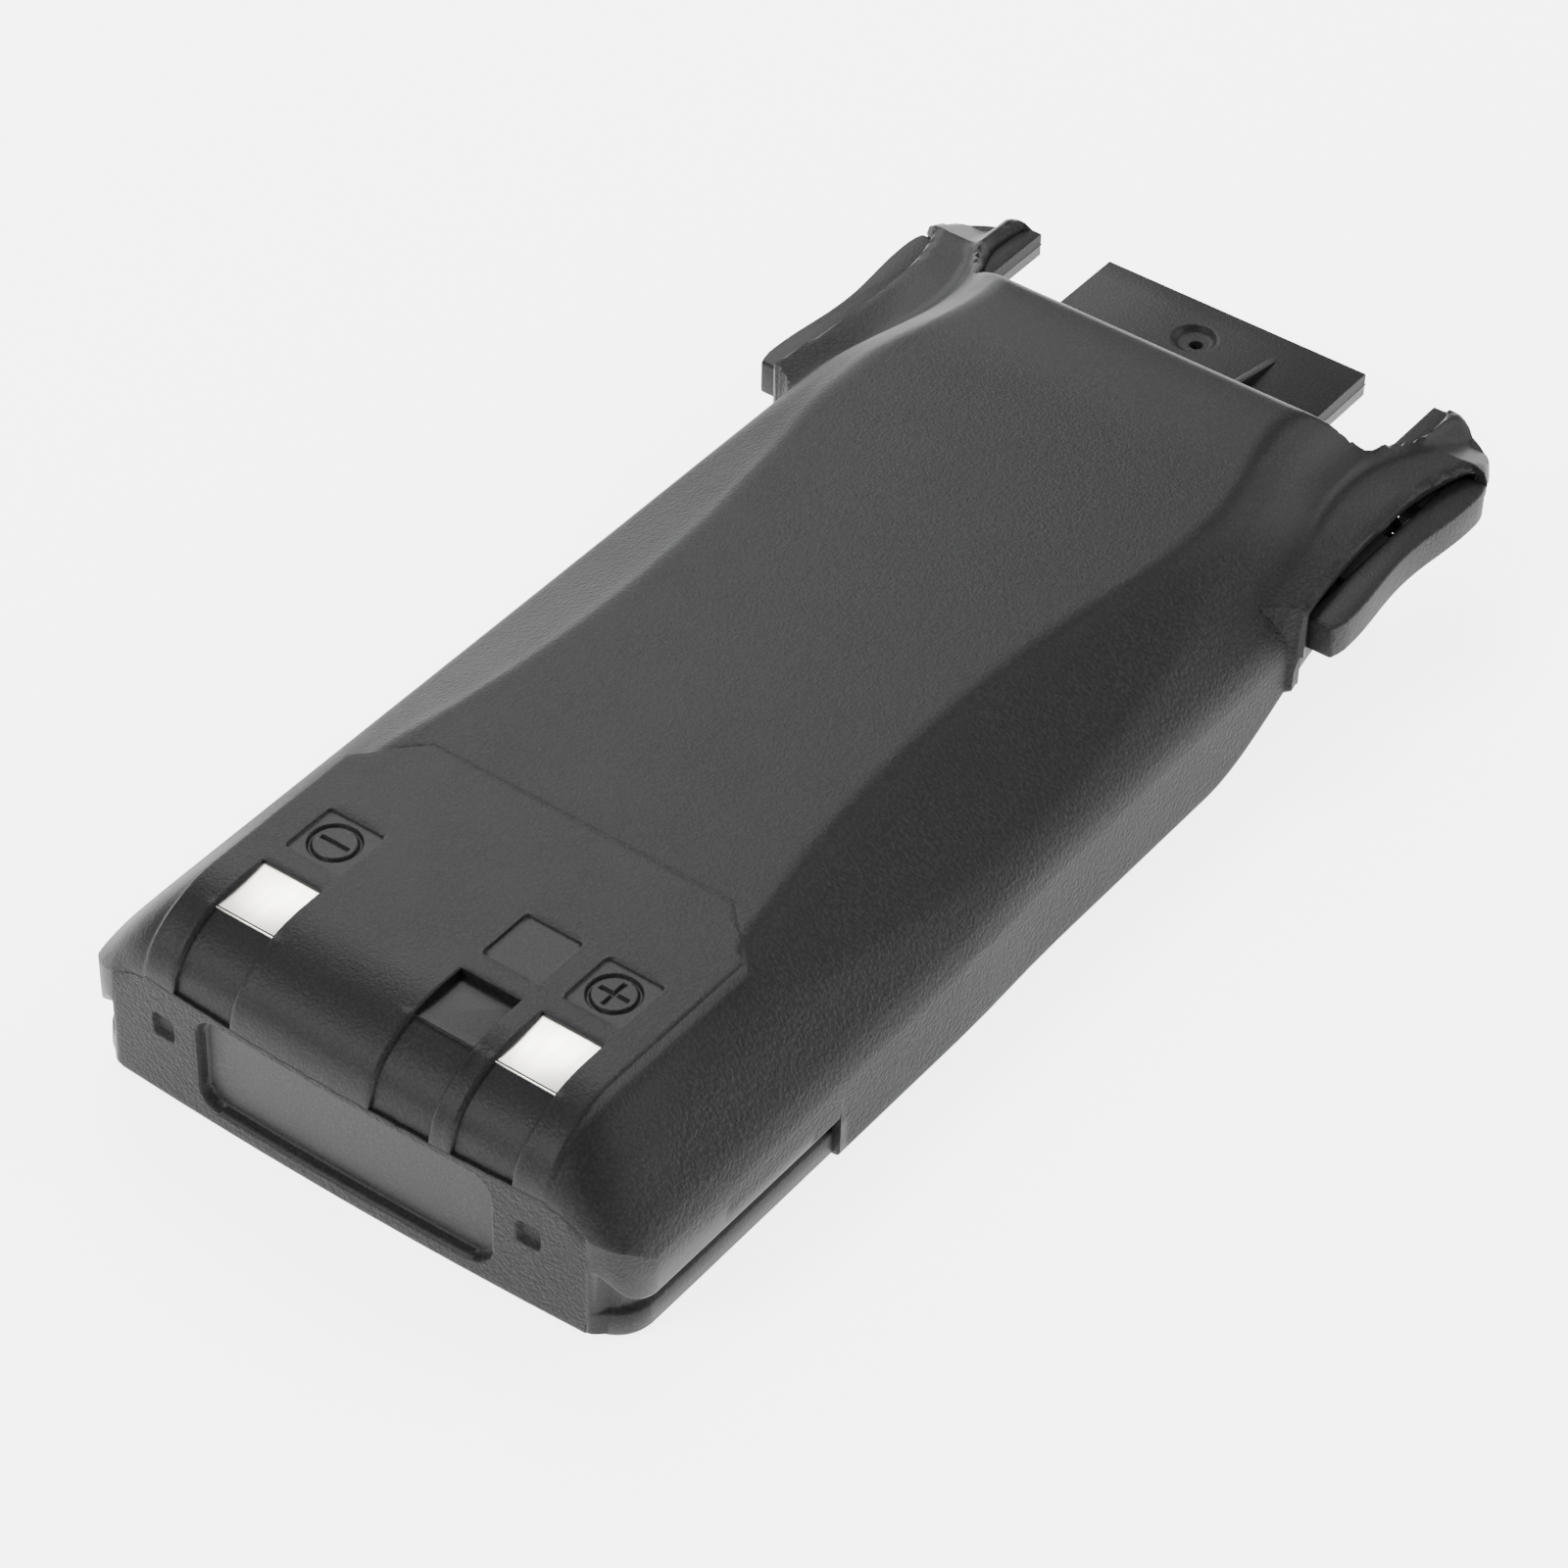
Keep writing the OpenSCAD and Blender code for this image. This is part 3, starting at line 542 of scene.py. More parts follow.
def slotWall(ax, y, rim):
    # the side with the charger's slot, which rises and fades out round the corner
    atCorner = y < 4.8
    turn = ease((26.4 - ax) / 3.4) if atCorner else 0.0
    fade = ease((ax - shell["slotStart"]) / 1.6) if atCorner else 1.0
    edge = shell["slotTop"] + 3.0 * turn
    rows = [(0.0, rim - 0.02), (0.0, rim - 0.5), (0.0, (rim + edge) / 2), (0.02, edge + 0.35),
            (0.08 * fade, edge + 0.12), (0.3 * fade, edge - 0.05), (0.95 * fade, edge - 0.4)]
    rows += [(depth * fade, z) for depth, z in ((1.1, 2.75), (1.0, 2.6), (0.9, 2.52), (0.75, 2.45),
                                                (0.6, 2.2), (0.5, 0.45))]
    return rows + [(0.8, 0.0), (1.6 + 0.8 * fade, 0.0)]


def plainWall(ax, y, rim, base):
    # a fine groove under the rim of the contact end, nothing elsewhere
    if ax < 22.8 and y < 4:
        rows = [(0.0, rim - 0.02), (0.07, rim - 0.09), (0.0, rim - 0.2)]
    else:
        rows = [(0.0, rim - 0.02), (0.0, rim - 0.05), (0.0, rim - 0.1)]
    rows += [(0.0, base + 0.45 + (rim - 0.65 - base) * (1 - i / 8)) for i in range(1, 9)]
    return rows + [(0.1, base + 0.15), (0.3, base), (shell["wall"], base),
                   (shell["wall"], base + shell["returnHeight"])]


def wallProfile(x, y, rim):
    # the wall below the rim as (inset, height) pairs, as many as shell["wallRows"]
    ax = abs(x)
    base = stepRise(y)
    hornFrom, hornTo = wing["hornWall"]
    if y > wing["lipEnd"] + 0.1 or (y > shell["length"] + 0.1 and hornFrom < ax < hornTo):
        return hornWall(ax, rim)
    if frontAt(ax, y) > 0 and ax > wing["wallFrom"]:
        return wingWall(ax, y, rim, base)
    if y < shell["slotLength"] and ax > shell["slotStart"]:
        return slotWall(ax, y, rim)
    return plainWall(ax, y, rim, base)


def buildBack():
    bm = bmesh.new()
    rim = bm.verts.layers.float_vector.new("rim")
    inward = bm.verts.layers.float_vector.new("inward")
    face = bm.faces.new([bm.verts.new((x, y, 0)) for x, y in backOutline()])
    for row in shell["rimRows"]:
        bmesh.ops.inset_region(bm, faces=[face], thickness=row, use_even_offset=True)
    # feature lines, then filler lines
    w, half = shell["windows"], shell["windowHalf"]
    linesX = [c + s * (half + d) for c in w for s in (-1, 1) for d in (-0.1, 0, 0.12, 0.3)]
    linesX += [s * (shell["panelHalf"] + d) for s in (-1, 1) for d in (-0.15, 0, 0.15, 0.3, 0.45, 0.6)]
    linesX += [s * d for s in (-1, 1) for d in (20.18, 20.22, shell["slotStart"])]
    linesX = mergePlaces(linesX, spread(-29, 29, shell["grid"]), 0.2)
    linesY = [shell["windowNear"] + d for d in (-0.15, 0)] + [shell["windowFar"] + d for d in (0, 0.15)]
    linesY += [shell["tagNear"], shell["tagFar"] + 0.001]
    linesY += [shell["panelLength"] + d for d in (0, 0.12, 0.25, 0.38, 0.5)]
    linesY += [shell["slotLength"] + d for d in (-0.04, 0.04)]
    linesY += [wing["pocketStart"] + d for d in (-0.02, 0.02)] + [wing["lipEnd"] + d for d in (0.08, 0.12)]
    linesY += [shell["length"] + d for d in (-0.15, -0.11, 0.08, 0.12)] + spread(105.6, 106.8, 0.2)
    linesY = mergePlaces(linesY, spread(0.6, 119.4, shell["grid"]), 0.15)
    cutAt(bm, None, (1, 0, 0), linesX)
    cutAt(bm, None, (0, 1, 0), linesY)
    reach = (shell["panelHalf"] + shell["panelLength"] - shell["panelCut"]) / sqrt(2)
    across, along, offset = wing["front"]
    for side in (-1, 1):
        corner = lambda f: side * middleOf(f).x > 13 and 21 < middleOf(f).y < 31
        cutAt(bm, corner, (side / sqrt(2), 1 / sqrt(2), 0), [reach + d for d in (0, 0.15, 0.3, 0.45)])
        front = lambda f: side * middleOf(f).x > 18.5 and 82 < middleOf(f).y < 91
        cutAt(bm, front, (side * across, along, 0), [offset + d for d in (-0.01, 0.01, 0.3, 0.6)])
    print("back cut into", len(bm.faces), "faces")
    # rim vertices remember their place in plan and which way is inward
    edges = [e for e in bm.edges if e.is_boundary]
    for edge in edges:
        a, b = edge.verts
        if edge.link_loops[0].vert is not a:
            a, b = b, a
        ahead = (b.co - a.co).normalized()
        for v in (a, b):
            v[rim] = (v.co.x, v.co.y, 0)
            v[inward] = Vector(v[inward]) + Vector((-ahead.y, ahead.x, 0))
    for v in bm.verts:
        placeOnBack(v)
    for k in range(shell["wallRows"]):
        made = bmesh.ops.extrude_edge_only(bm, edges=edges)["geom"]
        edges = [g for g in made if isinstance(g, bmesh.types.BMEdge) and g.is_boundary]
        edges = [e for e in edges if all(v in made for v in e.verts)]
        for v in [g for g in made if isinstance(g, bmesh.types.BMVert)]:
            x, y = v[rim][0], v[rim][1]
            inset, z = wallProfile(x, y, backHeight(x, y))[k]
            v.co = Vector((x, y, z)) + Vector(v[inward]).normalized() * inset
    print("walls down")
    # the pocket stays open past the upper end wall
    stray = [f for f in bm.faces if abs(middleOf(f).y - shell["length"] + 0.13) < 0.03
             and 24 < abs(middleOf(f).x) < 26.5 and middleOf(f).z < 11.4]
    bmesh.ops.delete(bm, geom=stray, context="FACES")
    openWindows(bm)
    carveTags(bm)
    carveEnd(bm)
    bmesh.ops.remove_doubles(bm, verts=bm.verts, dist=0.004)
    return bm


def placeOnBack(v):
    # height of the back, sunk in the channels and along the windows' rims
    x, y = v.co.x, v.co.y
    z = backHeight(x, y)
    radius, fall = shell["rollLength"], shell["flat"] - shell["parting"]
    half = shell["windowHalf"]
    if inChannel(x, y):
        ny, nz = -(radius - y) / radius ** 2, (z - shell["parting"]) / fall ** 2
        v.co.y -= shell["channelDepth"] * ny / hypot(ny, nz)
        z -= shell["channelDepth"] * nz / hypot(ny, nz)
    elif y < shell["windowNear"]:
        border = min(abs(abs(x - c) - half) for c in shell["windows"])
        z += 0.12 * exp(-((border - 0.3) / 0.2) ** 2) - 0.12 * exp(-(border / 0.08) ** 2)
    for c in shell["windows"]:
        near, far = shell["windowNear"], shell["windowFar"]
        beside = abs(abs(x - c) - half) < 0.01 and near - 0.01 < y < far + 0.01
        ends = abs(x - c) < half + 0.01 and min(abs(y - near), abs(y - far)) < 0.01
        if beside or ends:
            z -= 0.06
    v.co.z = z


def openWindows(bm):
    near, far, half = shell["windowNear"], shell["windowFar"], shell["windowHalf"]
    for c in shell["windows"]:
        inside = [f for f in bm.faces if abs(middleOf(f).x - c) < half
                  and near < middleOf(f).y < far and middleOf(f).z > 16]
        rimEdges = list({e for f in inside for e in f.edges if not all(g in inside for g in e.link_faces)})
        bmesh.ops.delete(bm, geom=inside, context="FACES")
        made = bmesh.ops.extrude_edge_only(bm, edges=rimEdges)["geom"]
        low = [g for g in made if isinstance(g, bmesh.types.BMVert)]
        for v in low:
            v.co.z = shell["contactHeight"][0] - shell["windowDepth"]
        # the middle window has a blank floor instead of a contact
        if c == shell["windows"][1]:
            loop = [g for g in made if isinstance(g, bmesh.types.BMEdge) and all(v in low for v in g.verts)]
            bmesh.ops.edgeloop_fill(bm, edges=loop)
            for v in low:
                v.co.z += shell["blankRise"]


mark = {
    "margin": 0.14, "corner": 0.45, "wallWidth": 0.16,  # the shallow square
    "ring": 1.95, "stroke": 0.16, "barHalf": 1.3, "barWidth": 0.17, "barCorner": 0.1,
    "depth": 0.28, "fade": 0.14,
    "step": 0.085, "plainStep": 0.25, "edgeLines": (0.08, 0.14, 0.2),  # how finely the tags are cut
}


def tagDepth(x, y, bars):
    # shallow square with round corners, and a ringed plus or minus cut deeper in it
    half = shell["tagHalf"] - mark["margin"]
    depth = shell["tagDepth"] * ease(0.5 - roundRect(x, y, half, half, mark["corner"]) / mark["wallWidth"])
    if bars:
        length, width, corner = mark["barHalf"], mark["barWidth"], mark["barCorner"]
        d = abs(hypot(x, y) - mark["ring"]) - mark["stroke"]
        d = min(d, roundRect(x, y, length, width, corner))
        if bars == 2:
            d = min(d, roundRect(x, y, width, length, corner))
        depth += mark["depth"] * ease(0.5 - d / mark["fade"])
    return depth


def carveTags(bm):
    middle = (shell["tagNear"] + shell["tagFar"]) / 2
    half = shell["tagHalf"]
    for c, bars in zip(shell["windows"], (1, 0, 2)):
        inTag = lambda f: (abs(middleOf(f).x - c) < half
                           and abs(middleOf(f).y - middle) < half - 0.13
                           and middleOf(f).z > 16)
        fine = spread(-half, half, mark["step"] if bars else mark["plainStep"])[1:-1]
        if not bars:
            fine += [s * (half - d) for s in (-1, 1) for d in mark["edgeLines"]]
        cutAt(bm, inTag, (1, 0, 0), [c + q for q in fine])
        cutAt(bm, inTag, (0, 1, 0), [middle + q * 0.95 for q in fine])
        for v in {v for f in bm.faces if inTag(f) for v in f.verts}:
            v.co.z -= tagDepth(v.co.x - c, v.co.y - middle, bars)
    print("tags carved")


def toRecess(x, z):
    # distance to the edge of the recess in the contact end, negative inside
    height, halfX, halfZ, corner = shell["recess"]
    return roundRect(x, z - height, halfX, halfZ, corner)


def carveEnd(bm):
    # smooth recess in the contact end and the two small square dimples beside it
    inEnd = lambda f: (abs(middleOf(f).x) < 20.5 and middleOf(f).y < 1.2
                       and 0.3 < middleOf(f).z < 11.35 and abs(f.normal.y) > 0.7)
    bm.normal_update()
    # rows and columns are close together only where an edge comes
    fineZ = spread(0.9, 3.4, 0.16) + spread(3.8, 6.2, 0.4) + spread(6.3, 8.6, 0.14)
    fineZ += spread(9.0, 9.6, 0.3) + spread(9.7, 11.2, 0.12)
    cutAt(bm, inEnd, (0, 0, 1), fineZ)
    for side in (-1, 1):
        cutAt(bm, inEnd, (1, 0, 0), [side * q for q in spread(11.1, 14.7, 0.17) + spread(16.1, 18.9, 0.14)])
    dimpleX, dimpleZ, dimpleHalf, dimpleCorner = shell["dimple"]
    for v in {v for f in bm.faces if inEnd(f) for v in f.verts}:
        x, z = v.co.x, v.co.z
        toDimple = roundRect(abs(x) - dimpleX, z - dimpleZ, dimpleHalf, dimpleHalf, dimpleCorner)
        depth = shell["recessDepth"] * ease(0.5 - toRecess(x, z) / 0.5)
        depth += shell["dimpleDepth"] * ease(0.5 - toDimple / 0.5)
        v.co.y += depth
    print("contact end carved")


def grainAt(x, y, z):
    # 0 polished, 0.4 fine texture, 1 coarse texture
    ax = abs(x)
    nearTags = shell["tagNear"] - 0.05 < y < shell["tagFar"] + 0.1
    # contact end: polished recess in a coarse face
    if z < shell["parting"] - 0.1 and y < 1.7 and ax < shell["slotStart"]:
        return 0.0 if toRecess(x, z) < 0.2 else 1.0
    # charger slots
    if z < 7.2 - 0.13 * y and y < 27 and ax > shell["slotStart"]:
        return 0.0 if ax > 23.9 and z > 2.7 else 0.15
    # horns and pockets
    if y > wing["lipEnd"] or z < wing["lipLow"] + 0.3 and frontAt(ax, y) > 0:
        return 0.0
    if any(abs(x - c) < shell["tagHalf"] for c in shell["windows"]) and nearTags:
        return 0.05
    # floor of the middle window
    if abs(x - shell["windows"][1]) < shell["windowHalf"] and z < shell["contactHeight"][0] and 5.4 < y < 11:
        return 0.0
    if panelEdge(x, y) < 0.1:
        return 0.25
    return 0.3 + 0.7 * ease((ax - crestAt(y) + 1.5) / 4) - 0.35 * ease((y - 92) / 8)


def paintGrain(piece, rule):
    values = piece.data.attributes.new("grain", "FLOAT", "POINT")
    for i, v in enumerate(piece.data.vertices):
        values.data[i].value = rule(v.co.x / mm, v.co.y / mm - contactEnd, v.co.z / mm)


back = toObject(buildBack(), "backShell", "root")
paintGrain(back, grainAt)
back.data.materials.append(shellAbs)
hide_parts("back_shell")
print("back shell made,", len(back.data.polygons), "faces")


def roundEdges(bm, edges, size, segments):
    bmesh.ops.bevel(bm, geom=edges, offset=size, affect="EDGES", segments=segments, profile=0.5, material=-1)


def addBlock(bm, low, high, bevel=0.0):
    # a box between two corners, its edges rounded if a bevel is given
    box = bmesh.ops.create_cube(bm, size=1)["verts"]
    bmesh.ops.scale(bm, verts=box, vec=[high[i] - low[i] for i in range(3)])
    bmesh.ops.translate(bm, verts=box, vec=[(high[i] + low[i]) / 2 for i in range(3)])
    if bevel:
        edges = list({e for v in box for e in v.link_edges})
        roundEdges(bm, edges, bevel, 3)


def mirrorX(bm):
    bmesh.ops.scale(bm, verts=bm.verts, vec=(-1, 1, 1))
    bmesh.ops.reverse_faces(bm, faces=bm.faces)


def extrudeUp(bm, outline, low, high):
    face = bm.faces.new([bm.verts.new((x, y, low)) for x, y in outline])
    made = bmesh.ops.extrude_face_region(bm, geom=[face])["geom"]
    top = [g for g in made if isinstance(g, bmesh.types.BMVert)]
    bmesh.ops.translate(bm, verts=top, vec=(0, 0, high - low))
    bmesh.ops.recalc_face_normals(bm, faces=bm.faces)


def sideName(side):
    return "Right" if side > 0 else "Left"


button = {
    "near": 89.6, "far": 113.4, "low": 8.1, "high": 11.4, "inner": 26.15,
    "face": 28.95, "wave": (0.35, 1.25, 0.12),  # half width, and the wave's height, turns and lag
    "nearEnd": (0.3, 0.06), "farEnd": (0.25, 0.05),  # how far the face draws in at its ends
    "edge": 0.28, "tab": ((24.12, 107.62, 8.15), (26.5, 113.35, 11.2)), "tabEdge": 0.1,
    "stem": ((14.0, 95.6, 9.1), (26.6, 102.6, 11.3)), "catch": ((18.5, 96.6, 5.3), (20.5, 101.6, 9.2)),
    "hiddenEdge": 0.15, "grain": (0.9, 0.15),  # coarse on the face, nearly polished elsewhere
}


def buttonEdge(y):
    # waved outer face: proud near each end with a finger dip between
    t = clamp((y - button["near"]) / (button["far"] - button["near"]))
    height, turns, lag = button["wave"]
    wave = button["face"] + height * cos(2 * pi * (t * turns - lag))
    nearDrop, nearRun = button["nearEnd"]
    farDrop, farRun = button["farEnd"]
    return wave - nearDrop * (1 - ease(t / nearRun)) - farDrop * (1 - ease((1 - t) / farRun))


def buildButton(side):
    bm = bmesh.new()
    outer = [(buttonEdge(y), y) for y in spread(button["near"], button["far"], 0.8)]
    outline = [(button["inner"], button["near"])] + outer + [(button["inner"], button["far"])]
    extrudeUp(bm, outline, button["low"], button["high"])
    sharp = [e for e in bm.edges if e.calc_face_angle(0) > radians(35)]
    roundEdges(bm, sharp, button["edge"], 4)
    # hidden parts: the tab under the lip, the stem that carries the spring, and the catch
    addBlock(bm, *button["tab"], button["tabEdge"])
    addBlock(bm, *button["stem"], button["hiddenEdge"])
    addBlock(bm, *button["catch"], button["hiddenEdge"])
    if side < 0:
        mirrorX(bm)
    name = sideName(side)
    piece = toObject(bm, "releaseButton" + name, "button_" + name.lower())
    coarse, smooth = button["grain"]
    paintGrain(piece, lambda x, y, z: coarse if abs(x) > buttonEdge(y) - 0.2 else smooth)
    piece.data.materials.append(buttonAbs)
    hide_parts("release_button_" + name.lower())


for side in (1, -1):
    buildButton(side)
print("release buttons made")

spring = {
    "radius": 1.32, "wire": 0.175, "turns": 7,  # wire is half the wire's thickness
    "from": 5.25, "to": 13.95, "height": 10.2, "along": 99.1,
    "segments": 10, "stepsPerTurn": 24,
}


def buildSpring(side):
    # a round wire spun along a helix, ends ground flat against the stem and the stop
    bm = bmesh.new()
    wire = bmesh.ops.create_circle(bm, segments=spring["segments"], radius=spring["wire"])["verts"]
    bmesh.ops.rotate(bm, verts=wire, matrix=Matrix.Rotation(pi / 2, 3, "X"))
    bmesh.ops.translate(bm, verts=wire, vec=(spring["from"] + spring["wire"], 0, spring["radius"]))
    steps = spring["turns"] * spring["stepsPerTurn"]
    advance = (spring["to"] - spring["from"] - 2 * spring["wire"]) / steps
    bmesh.ops.spin(bm, geom=bm.edges[:], cent=(0, 0, 0), axis=(1, 0, 0), dvec=(advance, 0, 0),
                   angle=2 * pi * spring["turns"], steps=steps)
    bmesh.ops.holes_fill(bm, edges=[e for e in bm.edges if e.is_boundary], sides=12)
    bmesh.ops.recalc_face_normals(bm, faces=bm.faces)
    bmesh.ops.translate(bm, verts=bm.verts, vec=(0, spring["along"], spring["height"]))
    if side < 0:
        mirrorX(bm)
    name = sideName(side)
    piece = toObject(bm, "latchSpring" + name, "root", 80)
    piece.data.materials.append(springSteel)
    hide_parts("latch_spring_" + name.lower())
    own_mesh(piece)


for side in (1, -1):
    buildSpring(side)
print("springs wound")

plate = {
    "tongueHalf": 13.22, "tongueFrom": 105.5, "tongueEnd": 119.5, "top": 12.0, "thick": 2.4,
    "bump": 0.1, "edge": 0.14, "hornInner": 20.2, "hornEnd": 119.14, "notch": 21.9, "notchEnd": 113.9,
    "outerTop": 11.2, "outerFrom": (22.3, 22.4), "underHorn": (19.9, 105.0),
    "dimple": (-1.05, 114.6, 1.75), "dimpleDepth": 0.45,  # place and radius, in the tongue's top
    "hole": (-0.75, 114.4, 0.42), "holeDepth": 1.2,
    "rib": (5.55, 6.3), "ribStart": 106.8, "ribTop": 14.0, "ribEnd": 116.8, "ribEdge": 0.18,
    "grain": 0.2,
}


def plateFrom(outline, low, high):
    # flat moulded plate with a fine parting bump round its edge
    bm = bmesh.new()
    extrudeUp(bm, outline, low, high)
    sharp = [e for e in bm.edges if abs(e.verts[0].co.z - e.verts[1].co.z) < 0.01]
    roundEdges(bm, sharp, plate["edge"], 2)
    middle = (low + high) / 2
    cutAt(bm, None, (0, 0, 1), [middle + d for d in (-0.16, 0, 0.16)])
    bm.normal_update()
    for v in [v for v in bm.verts if abs(v.co.z - middle) < 0.01]:
        v.co += Vector((v.normal.x, v.normal.y, 0)) * plate["bump"]
    return bm


def hornOutline():
    reach = wing["hornRadius"] - 0.04
    inner, start, notch = plate["hornInner"], plate["tongueFrom"], plate["notch"]
    points = [(inner, start), (notch, start), (notch, plate["notchEnd"])]
    return points + hornArc(plate["notchEnd"], reach) + [(inner, plate["hornEnd"])]


def buildHorn(side):
    bm = plateFrom(hornOutline(), plate["top"] - plate["thick"], plate["top"])
    # the plate is lower outside the ridge, where the dome stands on it
    cutAt(bm, None, (1, 0, 0), plate["outerFrom"])
    for v in bm.verts:
        if v.co.x > sum(plate["outerFrom"]) / 2:
            v.co.z = min(v.co.z, plate["outerTop"])
    # corner of the upper end wall under the horn, beside the button's pocket
    x, y = plate["underHorn"]
    addBlock(bm, (x, y, shell["stepHeight"]), (wing["pocketWall"] - 0.03, 107.15, 9.7))
    addBlock(bm, (x, y, shell["stepHeight"]), (25.85, 107.05, wing["pocketFloor"] - 0.03))
    if side < 0:
        mirrorX(bm)
    return toObject(bm, "hornPlate" + sideName(side), "root", 30)


def addRib(bm):
    # gusset between the end wall and the tongue
    low, high = plate["rib"]
    start, end, foot, top = plate["ribStart"], plate["ribEnd"], plate["top"], plate["ribTop"]
    outline = ((start, foot - 0.3), (start, top), (108.0, top - 0.25), (end, foot - 0.05), (end, foot - 0.3))
    rib = [bm.verts.new((low, y, z)) for y, z in outline]
    made = bmesh.ops.extrude_face_region(bm, geom=[bm.faces.new(rib)])["geom"]
    other = [g for g in made if isinstance(g, bmesh.types.BMVert)]
    bmesh.ops.translate(bm, verts=other, vec=(high - low, 0, 0))
    ribFaces = list({f for v in rib + other for f in v.link_faces})
    bmesh.ops.recalc_face_normals(bm, faces=ribFaces)
    edges = [e for e in {e for f in ribFaces for e in f.edges} if e.calc_face_angle(0) > radians(35)]
    roundEdges(bm, edges, plate["ribEdge"], 2)


def buildTongue():
    half, near, far = plate["tongueHalf"], plate["tongueFrom"], plate["tongueEnd"]
    bm = plateFrom([(-half, near), (half, near), (half, far), (-half, far)], plate["top"] - plate["thick"],
                   plate["top"])
    # round dimple with an off-centre hole
    dx, dy, dr = plate["dimple"]
    hx, hy, hr = plate["hole"]
    onTop = lambda f: middleOf(f).z > plate["top"] - 0.01
    cutAt(bm, onTop, (1, 0, 0), [dx + d for d in spread(-2.6, 2.6, 0.13)])
    cutAt(bm, onTop, (0, 1, 0), [dy + d for d in spread(-2.6, 2.6, 0.13)])
    for v in [v for v in bm.verts if v.co.z > plate["top"] - 0.01]:
        fromDimple = hypot(v.co.x - dx, v.co.y - dy) - dr
        fromHole = hypot(v.co.x - hx, v.co.y - hy) - hr
        sunk = plate["dimpleDepth"] * ease(0.5 - fromDimple / 0.7)
        v.co.z -= sunk + plate["holeDepth"] * ease(0.5 - fromHole / 0.35)
    addRib(bm)
    return toObject(bm, "tongue", "root", 30)


for piece in [buildHorn(1), buildHorn(-1), buildTongue()]:
    paintGrain(piece, lambda x, y, z: plate["grain"])
    piece.data.materials.append(shellAbs)
print("tongue and horns made")

contact = {"thick": 0.3, "overlap": 0.12}


def buildContact(name, x):
    # nickel plate pressed up behind its window, with the leg of its own strip under it
    bm = bmesh.new()
    half = shell["windowHalf"] + contact["overlap"]
    top = shell["contactHeight"][0]
    addBlock(bm, (x - half, shell["windowNear"] - 0.1, top - contact["thick"]),
             (x + half, shell["windowFar"] + 0.1, top), 0.08)
    tilt = (shell["contactHeight"][1] - top) / (shell["windowFar"] - shell["windowNear"])
    for v in bm.verts:
        v.co.z += tilt * (v.co.y - shell["windowNear"])
    low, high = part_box(name)
    legs = [(low[i] / mm - (contactEnd if i == 1 else 0), high[i] / mm - (contactEnd if i == 1 else 0))
            for i in range(3)]
    addBlock(bm, (x - 2, legs[1][0] + 0.3, legs[2][0]), (x + 2, legs[1][0] + 0.6, top - contact["thick"] / 2))
    piece = toObject(bm, name.title().replace("_", ""), "root", 40)
    piece.data.materials.append(brightNickel)
    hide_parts(name)


buildContact("charge_contact_negative", shell["windows"][0])
buildContact("charge_contact_positive", shell["windows"][2])
print("contacts made")

# the CAD nodes keep their shapes, in these finishes
nodeFinish = (
    (coverAbs, "front_cover back_shell release_button_left release_button_right"),
    (cellFilm, "cell_lower cell_upper"),
    (stripNickel, "cell_terminals series_strip positive_strip negative_strip"),
    (boardGreen, "protection_board"),
    (chipEpoxy, "protection_chips thermistor"),
    (ceramicBeige, "board_parts"),
    (cutoffCase, "thermal_cutoff"),
    (contactGold, "radio_contact_negative radio_contact_positive"),
    (blockNylon, "contact_block"),
    (fibreSheet, "insulator_sheet"),
    (blackFoam, "foam_pad_lower foam_pad_upper"),
    (amberTape, "adhesive_tape"),
    (labelFilm, "rating_label"),
    (springSteel, "latch_spring_left latch_spring_right"),
    (brightNickel, "charge_contact_negative charge_contact_positive"),
)
for finish, names in nodeFinish:
    for name in names.split():
        nodes[name].data.materials.clear()
        nodes[name].data.materials.append(finish)
print("finishes on", len(nodes), "nodes")

# floor half size in metres, and the strengths of its glow and of the sky
stageSetup = {"floor": 3.0, "paper": "#f8f8f8", "glow": 4.0, "overhead": 0.8, "horizon": 1.4}
floorMesh = bmesh.new()
bmesh.ops.create_grid(floorMesh, x_segments=1, y_segments=1, size=stageSetup["floor"])
bmesh.ops.translate(floorMesh, verts=floorMesh.verts, vec=(0, 0, -0.0002))
mesh = bpy.data.meshes.new("floor")
floorMesh.to_mesh(mesh)
floorMesh.free()
floor = bpy.data.objects.new("floor", mesh)
bpy.context.scene.collection.objects.link(floor)
# white paper lit from below as on a light table, so the upright faces of the black plastic pick it up
paper = newMaterial("white paper sweep")
paperShader = addNode(paper, "ShaderNodeBsdfPrincipled",
                      {"Roughness": 0.9, "Emission Strength": stageSetup["glow"]})
paperShader.inputs["Base Color"].default_value = hexColour(stageSetup["paper"])
paperShader.inputs["Emission Color"].default_value = (1, 1, 1, 1)
finishMaterial(paper, paperShader)
mesh.materials.append(paper)

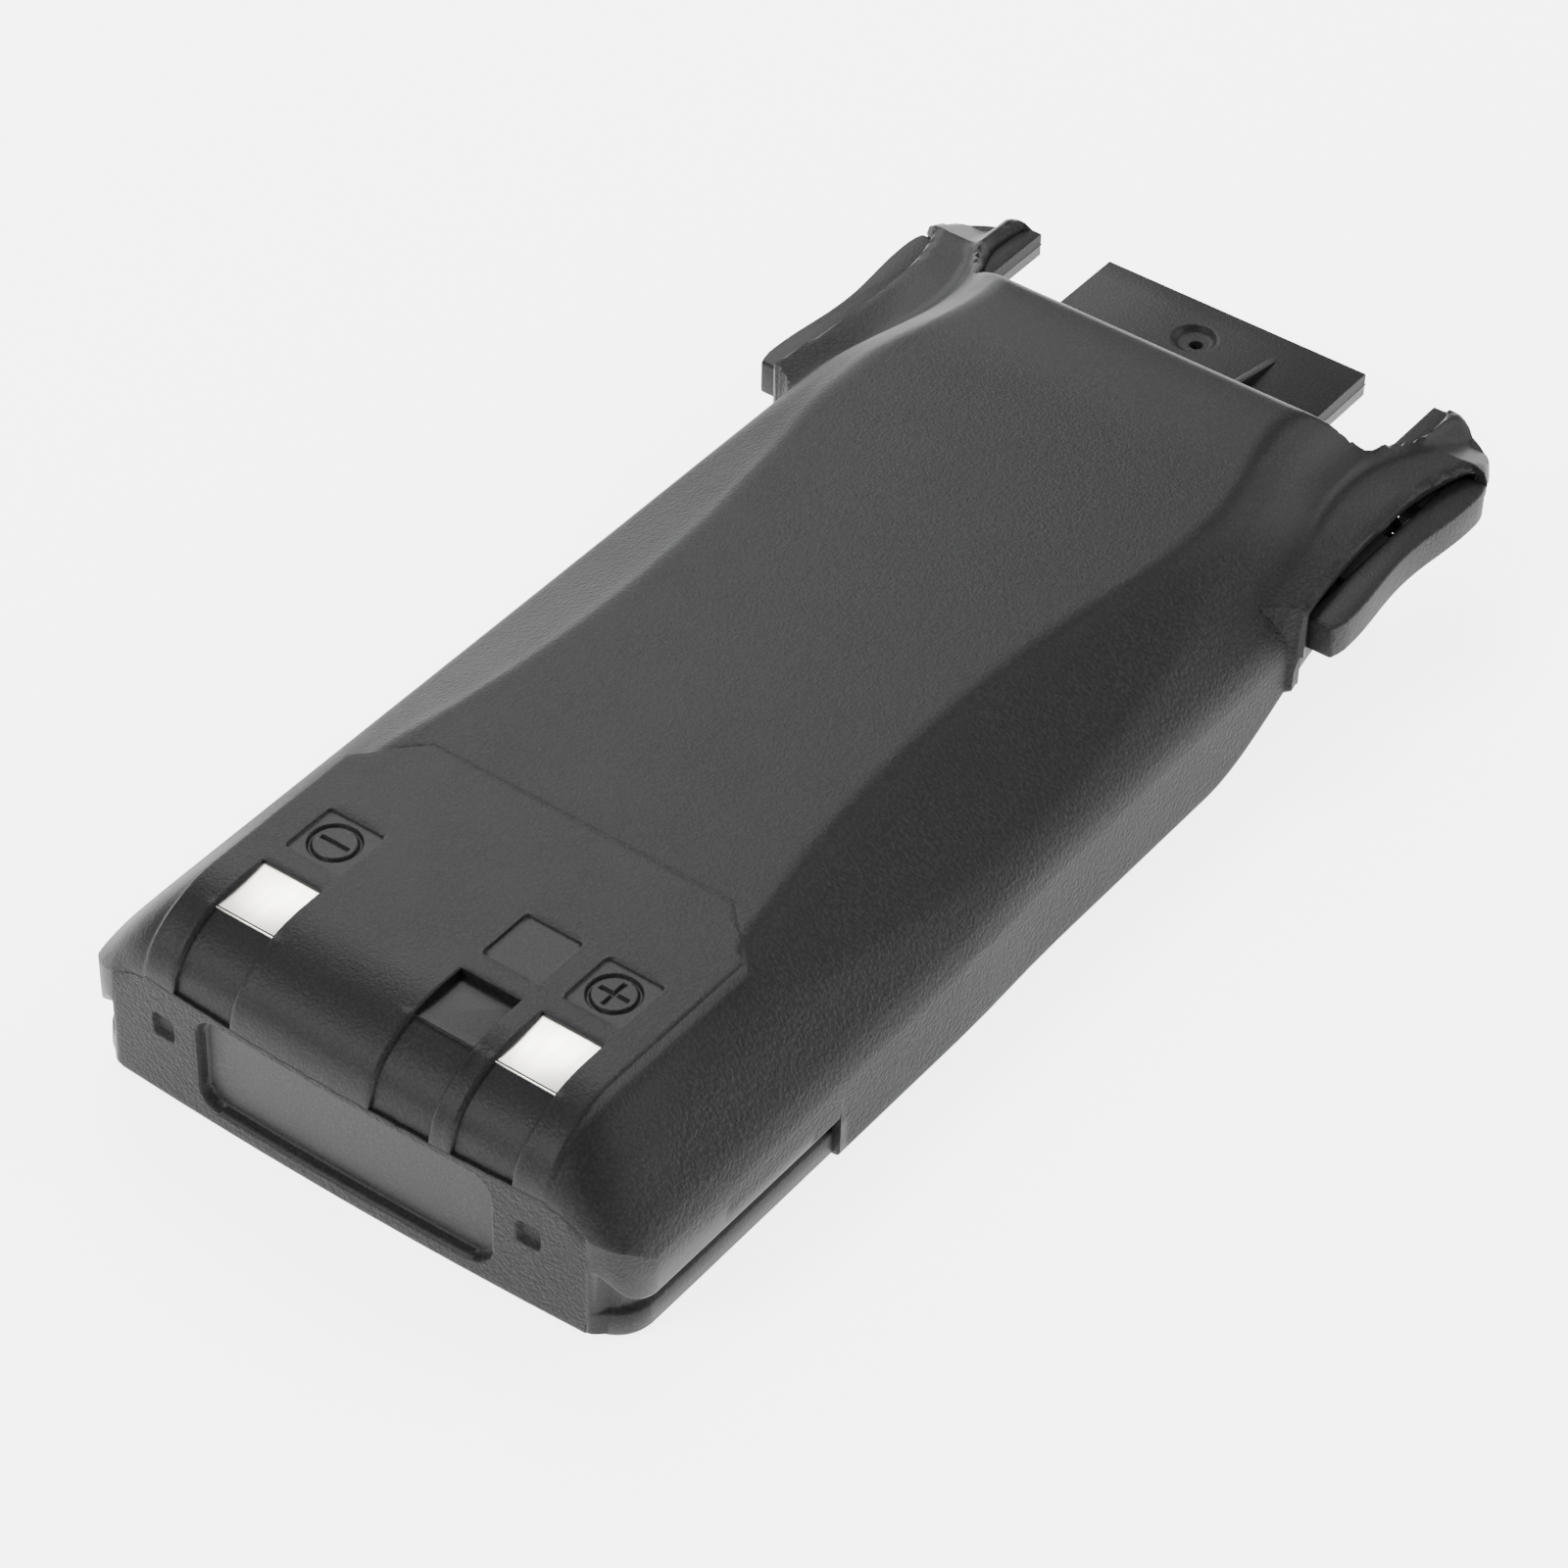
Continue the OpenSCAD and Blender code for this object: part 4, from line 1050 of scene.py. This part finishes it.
# sky that is bright low down and dim overhead
world = bpy.data.worlds.new("studio")
bpy.context.scene.world = world
world.use_nodes = True
backdrop = world.node_tree.nodes["Background"]
backdrop.inputs["Color"].default_value = (1, 1, 1, 1)
direction = addNode(world, "ShaderNodeTexCoord")
parts = addNode(world, "ShaderNodeSeparateXYZ", Vector=(direction, "Generated"))
fall = addNode(world, "ShaderNodeMapRange", {"From Min": 0.0, "From Max": 0.24,
                                             "To Min": stageSetup["horizon"],
                                             "To Max": stageSetup["overhead"]}, Value=(parts, "Z"))
world.node_tree.links.new(fall.outputs["Result"], backdrop.inputs["Strength"])


def softbox(name, place, aim, size, power):
    # a rectangular lamp, its place and size in metres and its power in watts
    data = bpy.data.lights.new(name, "AREA")
    data.shape = "RECTANGLE"
    data.size, data.size_y = size
    data.energy = power
    lamp = bpy.data.objects.new(name, data)
    lamp.location = place
    lamp.rotation_euler = (Vector(aim) - Vector(place)).to_track_quat("-Z", "Y").to_euler()
    bpy.context.scene.collection.objects.link(lamp)


softbox("backLeft", (-0.6, 0.45, 0.4), (0, 0, 0), (0.5, 0.3), 3.0)
softbox("backRight", (0.5, 0.6, 0.55), (0, 0, 0), (0.6, 0.4), 6.0)
softbox("overContacts", (-0.4, 0.38, 0.7), (0, -0.05, 0.017), (0.36, 0.3), 5.0)
softbox("frontLeft", (-0.3, -0.65, 0.55), (0, -0.05, 0.01), (0.4, 0.3), 8.0)

view = {"place": (185.26, -261.797, 283.469), "lens": 121.2506, "roll": 1.3948, "azimuth": 35.8578,
        "elevation": 41.5254}
camera = bpy.data.cameras.new("camera")
camera.lens = view["lens"]
camera.sensor_width = 36
camera.clip_start, camera.clip_end = 0.01, 20
cameraObject = bpy.data.objects.new("camera", camera)
bpy.context.scene.collection.objects.link(cameraObject)
a, e, roll = radians(view["azimuth"]), radians(view["elevation"]), radians(view["roll"])
backward = Vector((sin(a) * cos(e), -cos(a) * cos(e), sin(e)))
level = Vector((cos(a), sin(a), 0))
upright = backward.cross(level)
right = level * cos(roll) + upright * sin(roll)
up = upright * cos(roll) - level * sin(roll)
turn = Matrix((right, up, backward)).transposed().to_4x4()
cameraObject.matrix_world = Matrix.Translation(Vector(view["place"]) * mm) @ turn
bpy.context.scene.camera = cameraObject
